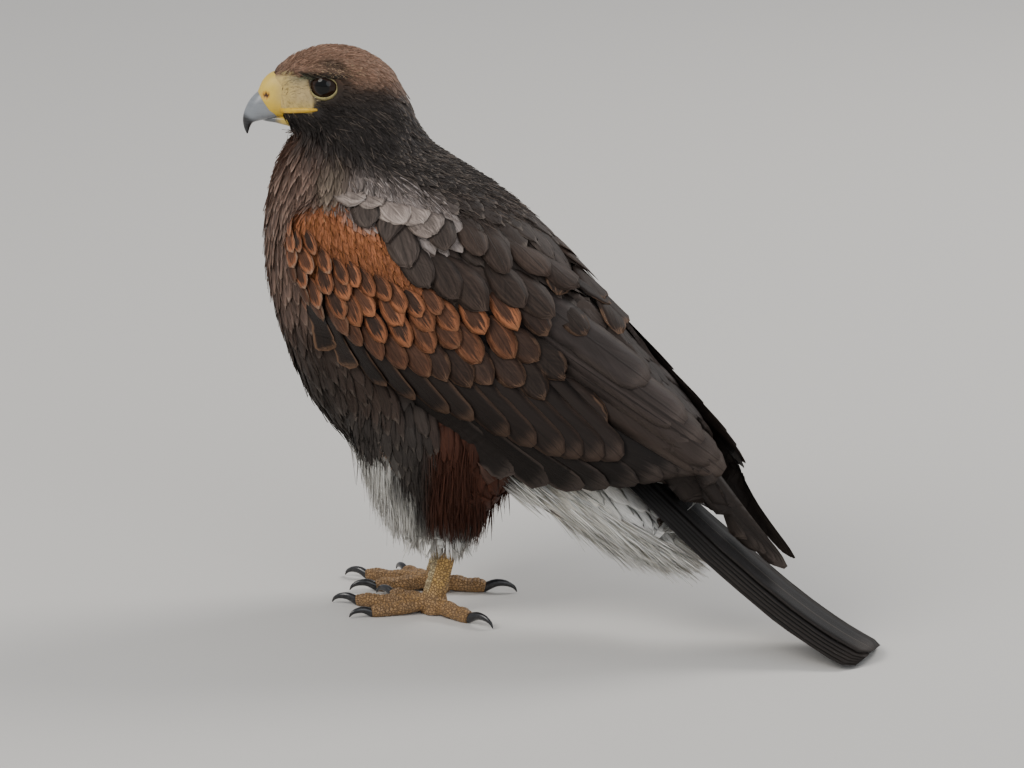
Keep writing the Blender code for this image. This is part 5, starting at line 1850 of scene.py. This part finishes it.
def build_leg(side):
    """Shank and foot under one scaly skin, and the four claws."""
    name, foot = ("left", LEFT_FOOT) if side < 0 else ("right", RIGHT_FOOT)
    leg = joined(f"leg_skin_{name}", [node_copy(f"shank_{name}"), node_copy(f"foot_{name}")], 0.25)
    apply_modifier(leg, "one skin", "REMESH", mode="VOXEL", voxel_size=LEG_VOXEL, use_smooth_shade=True)
    apply_modifier(leg, "soften", "SMOOTH", factor=0.5, iterations=6)
    points, normals = millimetres(mesh_points(leg)), mesh_normals(leg)
    rise = points[:, 2]
    on_shank = smooth_step(rise, 11, 16)
    front = smooth_step(-normals[:, 0], 0.05, 0.45)
    plates = np.abs((rise / 4.3) % 1 - 0.5) * 2
    groove = plates**5 * front * on_shank
    lift = 0.42 * (1 - plates**3) * front * on_shank
    top = smooth_step(normals[:, 2], 0.15, 0.55) * (1 - on_shank)
    best = np.full(len(points), 1e9)
    toe_groove, toe_lift = np.zeros(len(points)), np.zeros(len(points))
    for toe in TOES:
        _, _, heading = toe_path(foot, toe, -side)
        away = points[:, :2] - np.array(foot)
        along = away @ heading[:2]
        apart = np.abs(away @ np.array([-heading[1], heading[0]])) + np.where(along < 0, 20, 0)
        mine = apart < best
        best = np.where(mine, apart, best)
        band = np.abs((along / 2.5 + 0.15 * np.sin(along)) % 1 - 0.5) * 2
        fade = smooth_step(along, 7, 12)
        toe_groove = np.where(mine, band**4 * fade, toe_groove)
        toe_lift = np.where(mine, 0.50 * (1 - band**3) * fade, toe_lift)
    points += normals * (lift + toe_lift * top - 0.12)[:, None]
    points[:, 2] = np.maximum(points[:, 2], 0.0)
    set_points(leg, metres(points))
    set_values(leg, "groove", np.clip(groove + toe_groove * top, 0, 1))
    set_values(leg, "scute", np.clip(front * on_shank, 0, 1))
    claws = []
    for toe in TOES:
        path, radii, heading = toe_path(foot, toe, -side)
        claw = claw_rows(path[-1] - heading * 0.8, heading, toe[5], radii[-1] * 0.72)
        rows = smooth_rows(claw, 26)
        claws.append(tube(f"talon_{name}_{toe[0]}", rows[:, :3], rows[:, 3], 16, 0.82))
    return leg, claws


def leg_material():
    """Yellow scales with dark seams, paler in front and browner on the toes."""
    n = Finish("leg_skin", 0.55, 0.4)
    place = n.place()
    rise = n.value(n.add("ShaderNodeSeparateXYZ", Vector=place), 2)
    cells = n.add("ShaderNodeTexVoronoi", Vector=place, Scale=620.0)
    cells.feature = "DISTANCE_TO_EDGE"
    cell = n.ramp(cells.outputs["Distance"], 0.0, 0.16)
    colour = n.mix(n.number("scute"), (0.50, 0.30, 0.095), (0.56, 0.45, 0.24))
    colour = n.mix(n.ramp(rise, 0.020, 0.006), colour, (0.36, 0.205, 0.085))
    patches = n.ramp(n.grain(place, 160.0, 4.0, 0.6), 0.42, 0.62)
    colour = n.mix(patches * 0.35, colour, (0.30, 0.20, 0.12))
    seam = n.most(n.number("groove"), (1.0 - cell) * 0.85, clamp=True)
    n.relief(0.9, 0.0006, cell)
    return n.coloured(n.mix(seam * 0.8, colour, (0.10, 0.058, 0.030)))


def claw_material():
    n = Finish("talon_horn", 0.28, 0.5, 0.25)
    streak = n.grain(n.place(), 500.0, 3.0)
    n.relief(0.2, 0.0002, streak)
    return n.coloured(n.mix(n.ramp(streak, 0.4, 0.7), (0.010, 0.010, 0.012), (0.030, 0.028, 0.028)))


def head_axis(n):
    """How far back along the head a place lies from its centre, and how high, in metres."""
    parts = n.add("ShaderNodeSeparateXYZ", Vector=n.place())
    x, y, z = (n.value(parts, k) - float(centre) for k, centre in enumerate(metres(HEAD_CENTRE)))
    return x * math.cos(HEAD_TURN) + y * math.sin(HEAD_TURN), z


def bill_material(name, base, tip, base_colour, horn=(0.235, 0.25, 0.27)):
    """Horn that goes from its base through blue-grey to a black tip."""
    n = Finish(name, 0.32, 0.5, 0.15)
    ahead, rise = head_axis(n)
    streak = n.grain(n.vector(ahead * 60.0, rise * 260.0, 0.0), 3.0, 3.0)
    drop = ahead * 0.6 + rise * 1.0 + (streak - 0.5) * 0.004
    colour = n.mix(n.ramp(ahead, *base), horn, base_colour)
    colour = n.mix(n.ramp(drop, *tip), colour, (0.012, 0.012, 0.014))
    n.relief(0.12, 0.0002, n.grain(n.place(), 900.0, 2.0))
    return n.coloured(n.mix(n.ramp(streak, 0.45, 0.75) * 0.22, colour, (0.10, 0.10, 0.11)))


def cere_material():
    """Waxy yellow, paler towards the lores, with a reddish nostril whose opening is darkened as painted
    shade.
    """
    n = Finish("cere_skin", 0.45, 0.45)
    place = n.place()
    ahead, rise = head_axis(n)
    pale = n.ramp(ahead, -0.042, -0.033) * n.ramp(rise, -0.006, 0.004)
    colour = n.mix(n.ramp(rise, -0.004, 0.004), (0.70, 0.46, 0.045), (0.72, 0.50, 0.085))
    colour = n.mix(pale, colour, (0.55, 0.41, 0.16))
    mottle = n.ramp(n.grain(place, 260.0, 4.0, 0.6), 0.4, 0.7)
    colour = n.mix(mottle * 0.3, colour, (0.50, 0.33, 0.09))
    nostril = n.number("nostril")
    colour = n.mix(n.ramp(nostril, 0.0, 0.12) * 0.6, colour, (0.62, 0.27, 0.02))
    n.relief(0.3, 0.0003, n.grain(place, 700.0, 4.0, 0.6))
    # Painted shade: the nostril's shallow pit is darkened to stand for the shadow inside its opening
    return n.coloured(n.mix(n.ramp(nostril, 0.18, 0.62), colour, (0.055, 0.018, 0.010)))


def fold_material(name, colour, dark):
    """Yellow skin of gape or lids, whose lids darken towards the brow with a painted shadow of the brow."""
    n = Finish(name, 0.42, 0.45)
    place = n.place()
    mottle = n.ramp(n.grain(place, 420.0, 4.0, 0.6), 0.38, 0.72)
    mixed = n.mix(mottle, tuple(colour), dark)
    if name == "lid_skin":
        # Painted shadow: the upper lid is darkened where the brow shades it
        mixed = n.mix(n.number("shade"), mixed, (0.030, 0.026, 0.020))
    n.relief(0.3, 0.0003, n.grain(place, 900.0, 3.0))
    return n.coloured(mixed)


def eye_material(wet):
    """Dark brown iris about a black pupil, under a clear wet coat."""
    n = Finish("eye", 0.08, 0.15, wet)
    out = n.number("outward")
    fibres = n.grain(n.place(), 900.0, 3.0, 0.6)
    rim = (0.010, 0.006, 0.004)
    iris = n.mix(n.ramp(out, 0.62, 0.50), n.mix(fibres, (0.030, 0.012, 0.006), rim), rim)
    return n.coloured(n.mix(n.ramp(out, 0.895, 0.915), iris, (0.002, 0.002, 0.002)))


def place_camera():
    data = bpy.data.cameras.new("camera")
    camera = bpy.data.objects.new("camera", data)
    bpy.context.scene.collection.objects.link(camera)
    turn, down, roll = math.radians(22), math.radians(14), math.radians(1)
    ahead = Vector((-math.sin(turn) * math.cos(down), math.cos(turn) * math.cos(down), -math.sin(down)))
    level = Vector((math.cos(turn), math.sin(turn), 0))
    upright = level.cross(ahead)
    right = level * math.cos(roll) + upright * math.sin(roll)
    up = upright * math.cos(roll) - level * math.sin(roll)
    camera.matrix_world = Matrix.Translation((1.051284, -2.6786, 0.8543)) @ Matrix(
        (right, up, -ahead)
    ).transposed().to_4x4()
    data.sensor_width = 36
    data.lens = 185.04
    data.clip_end = 100
    bpy.context.scene.camera = camera


def add_light(name, place, aim, size, power, colour):
    data = bpy.data.lights.new(name, "AREA")
    data.shape = "DISK"
    data.size = size
    data.energy = power
    data.color = colour
    light = bpy.data.objects.new(name, data)
    light.location = place
    light.rotation_euler = (Vector(aim) - Vector(place)).to_track_quat("-Z", "Y").to_euler()
    bpy.context.scene.collection.objects.link(light)


class HawkColours(bpy.types.PropertyGroup):
    """Finishes that a user would change."""

    iris_wet: bpy.props.FloatProperty(
        name="Eye gloss", description="Weight of the clear wet coat on the eye",
        default=0.28, min=0, max=1, subtype="FACTOR",
    )
    gape: bpy.props.FloatVectorProperty(
        name="Corner of the mouth", description="Colour of the fold at the corner of the mouth",
        default=(0.68, 0.43, 0.025), size=3, subtype="COLOR", min=0, max=1,
    )
    lids: bpy.props.FloatVectorProperty(
        name="Lids", description="Colour of the rim of the eyelids", default=(0.40, 0.34, 0.14),
        size=3, subtype="COLOR", min=0, max=1,
    )


class HawkStage(bpy.types.PropertyGroup):
    """Floor and light."""

    floor_size: bpy.props.FloatProperty(
        name="Floor", description="Length of the floor's side", default=24.0, min=1, unit="LENGTH"
    )
    key_power: bpy.props.FloatProperty(
        name="Key light", description="Power of the main light", default=52.0, min=0, unit="POWER"
    )
    sky: bpy.props.FloatProperty(
        name="Sky", description="Strength of the even light all round", default=0.55, min=0
    )


class HAWK_OT_skin(bpy.types.Operator):
    """Build the one skin that replaces the nodes of flesh"""

    bl_idname = "hawk.skin"
    bl_label = "Skin"

    def execute(self, context):
        skin = build_skin()
        give(skin, skin_material())
        read_skin(skin)
        State.flanks = {side: flank_surface(side) for side in (-1, 1)}
        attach(skin, "root")
        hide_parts("head", "neck", "torso", "thigh_left", "thigh_right")
        return {"FINISHED"}


class HAWK_OT_body_feathers(bpy.types.Operator):
    """Lay the small feathers of head, neck, breast, back, trousers and undertail"""

    bl_idname = "hawk.body_feathers"
    bl_label = "Body feathers"

    def execute(self, context):
        dark = feather_material("body_plumage")
        white = feather_material("undertail_plumage", shaft=0.15, shaft_colour=(0.30, 0.28, 0.25))
        for piece in build_body_feathers():
            undertail = piece.name == "undertail_feathers"
            give(piece, white if undertail else dark)
            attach(piece, "root")
            if undertail:
                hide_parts("undertail_coverts")
        fine = feather_material("fine_plumage", barbs=8.0, shaft=0.0, bump=0.1, streaks=0.1)
        for piece in build_wisps():
            give(piece, fine)
            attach(piece, "root")
        return {"FINISHED"}


class HAWK_OT_wings(bpy.types.Operator):
    """Lay the coverts, scapulars and flight feathers of both wings"""

    bl_idname = "hawk.wings"
    bl_label = "Wings"

    def execute(self, context):
        covert = feather_material("covert_plumage", barbs=30.0, shaft=0.6, streaks=1.0)
        flight = feather_material("flight_plumage", barbs=90.0, shaft=0.9, bump=0.6, streaks=0.2)
        for side, node in ((-1, "wing_left"), (1, "wing_right")):
            coverts, flights = build_coverts(side), build_flights(side)
            give(coverts, covert)
            give(flights, flight)
            for piece in (coverts, flights):
                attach(piece, "root")
                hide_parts(node)
        ridge = build_ridge()
        give(ridge, covert)
        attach(ridge, "root")
        return {"FINISHED"}


class HAWK_OT_tail(bpy.types.Operator):
    """Lay the twelve tail feathers"""

    bl_idname = "hawk.tail"
    bl_label = "Tail"

    def execute(self, context):
        tail = build_tail()
        give(tail, feather_material("tail_plumage", barbs=110.0, shaft=1.0, bump=0.6, streaks=0.15,
                                    shaft_colour=(0.075, 0.062, 0.052)))
        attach(tail, "root")
        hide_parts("tail")
        white = build_tail_coverts()
        give(white, feather_material("tail_covert_plumage", shaft=0.2))
        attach(white, "root")
        return {"FINISHED"}


class HAWK_OT_face(bpy.types.Operator):
    """Build cere, bill, corners of the mouth, lids and eyes"""

    bl_idname = "hawk.face"
    bl_label = "Face"

    def execute(self, context):
        colours = context.scene.hawk_colours
        cere, upper, lower = build_face()
        give(cere, cere_material())
        give(upper, bill_material("upper_bill", (-0.0520, -0.0400), (-0.0400, -0.0455), (0.27, 0.28, 0.29)))
        give(lower, bill_material("lower_bill", (-0.0400, -0.0345), (-0.0410, -0.0440), (0.60, 0.42, 0.07),
                                  (0.13, 0.135, 0.14)))
        for piece, node, slot in (
            (cere, "cere", "yellow_skin"),
            (upper, "bill_upper", "bill_horn"),
            (lower, "bill_lower", "bill_horn"),
        ):
            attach(piece, "root")
            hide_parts(node)
        gape = fold_material("gape_skin", colours.gape, (0.52, 0.29, 0.03))
        lid = fold_material("lid_skin", colours.lids, (0.20, 0.17, 0.09))
        wet = eye_material(colours.iris_wet)
        for side, node in ((-1, "eye_left"), (1, "eye_right")):
            fold, lids, eye = build_gape(side), build_lids(side), build_eye(side)
            give(fold, gape)
            give(lids, lid)
            give(eye, wet)
            for piece, slot in ((fold, "yellow_skin"), (lids, "yellow_skin"), (eye, "eye")):
                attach(piece, "root")
            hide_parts(node)
        return {"FINISHED"}


class HAWK_OT_legs(bpy.types.Operator):
    """Build the scaly shanks and feet and their talons"""

    bl_idname = "hawk.legs"
    bl_label = "Legs"

    def execute(self, context):
        scaly, horn = leg_material(), claw_material()
        for side, name in ((-1, "left"), (1, "right")):
            leg, claws = build_leg(side)
            give(leg, scaly)
            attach(leg, "root")
            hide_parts(f"shank_{name}", f"foot_{name}")
            for toe, talon in zip(TOES, claws):
                give(talon, horn)
                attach(talon, "root")
                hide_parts(f"claw_{name}_{toe[0]}")
        return {"FINISHED"}


class HAWK_OT_stage(bpy.types.Operator):
    """Set the floor, the soft lights and the camera"""

    bl_idname = "hawk.stage"
    bl_label = "Stage"

    def execute(self, context):
        settings = context.scene.hawk_stage
        bpy.ops.mesh.primitive_plane_add(size=settings.floor_size)
        floor = context.object
        floor.name = "floor"
        give(floor, Finish("pale_floor", 0.85, 0.2).coloured((0.62, 0.60, 0.57)))
        world = bpy.data.worlds.new("soft_room")
        world.use_nodes = True
        background = world.node_tree.nodes["Background"]
        background.inputs["Color"].default_value = (0.92, 0.95, 1.0, 1)
        background.inputs["Strength"].default_value = settings.sky
        context.scene.world = world
        add_light("key", (-1.3, -1.9, 2.2), (0, 0, 0.18), 1.6, settings.key_power, (1.0, 0.97, 0.92))
        add_light("fill", (1.8, -1.6, 1.1), (0, 0, 0.15), 2.0, settings.key_power * 0.3, (0.92, 0.96, 1.0))
        add_light("rim", (0.9, 1.9, 1.9), (0, 0, 0.2), 1.2, settings.key_power * 0.8, (1.0, 0.98, 0.95))
        place_camera()
        return {"FINISHED"}


STEPS = ("hawk.skin", "hawk.body_feathers", "hawk.wings", "hawk.tail", "hawk.face", "hawk.legs", "hawk.stage")


class HAWK_PT_panel(bpy.types.Panel):
    """Lists the steps and the settings"""

    bl_idname = "HAWK_PT_panel"
    bl_label = "Hawk"
    bl_space_type = "VIEW_3D"
    bl_region_type = "UI"
    bl_category = "Hawk"

    def draw(self, context):
        for step in STEPS:
            self.layout.operator(step)
        for group in (context.scene.hawk_colours, context.scene.hawk_stage):
            for name in group.bl_rna.properties.keys():
                if name not in ("rna_type", "name"):
                    self.layout.prop(group, name)


CLASSES = (
    HawkColours, HawkStage, HAWK_OT_skin, HAWK_OT_body_feathers, HAWK_OT_wings, HAWK_OT_tail,
    HAWK_OT_face, HAWK_OT_legs, HAWK_OT_stage, HAWK_PT_panel,
)


def register():
    for entry in CLASSES:
        bpy.utils.register_class(entry)
    bpy.types.Scene.hawk_colours = bpy.props.PointerProperty(type=HawkColours)
    bpy.types.Scene.hawk_stage = bpy.props.PointerProperty(type=HawkStage)


def unregister():
    del bpy.types.Scene.hawk_stage
    del bpy.types.Scene.hawk_colours
    for entry in reversed(CLASSES):
        bpy.utils.unregister_class(entry)


def main():
    register()
    bpy.ops.object.select_all(action="DESELECT")
    for step in STEPS:
        group, name = step.split(".")
        getattr(getattr(bpy.ops, group), name)()
        print("made", step)


if __name__ == "__main__":
    main()
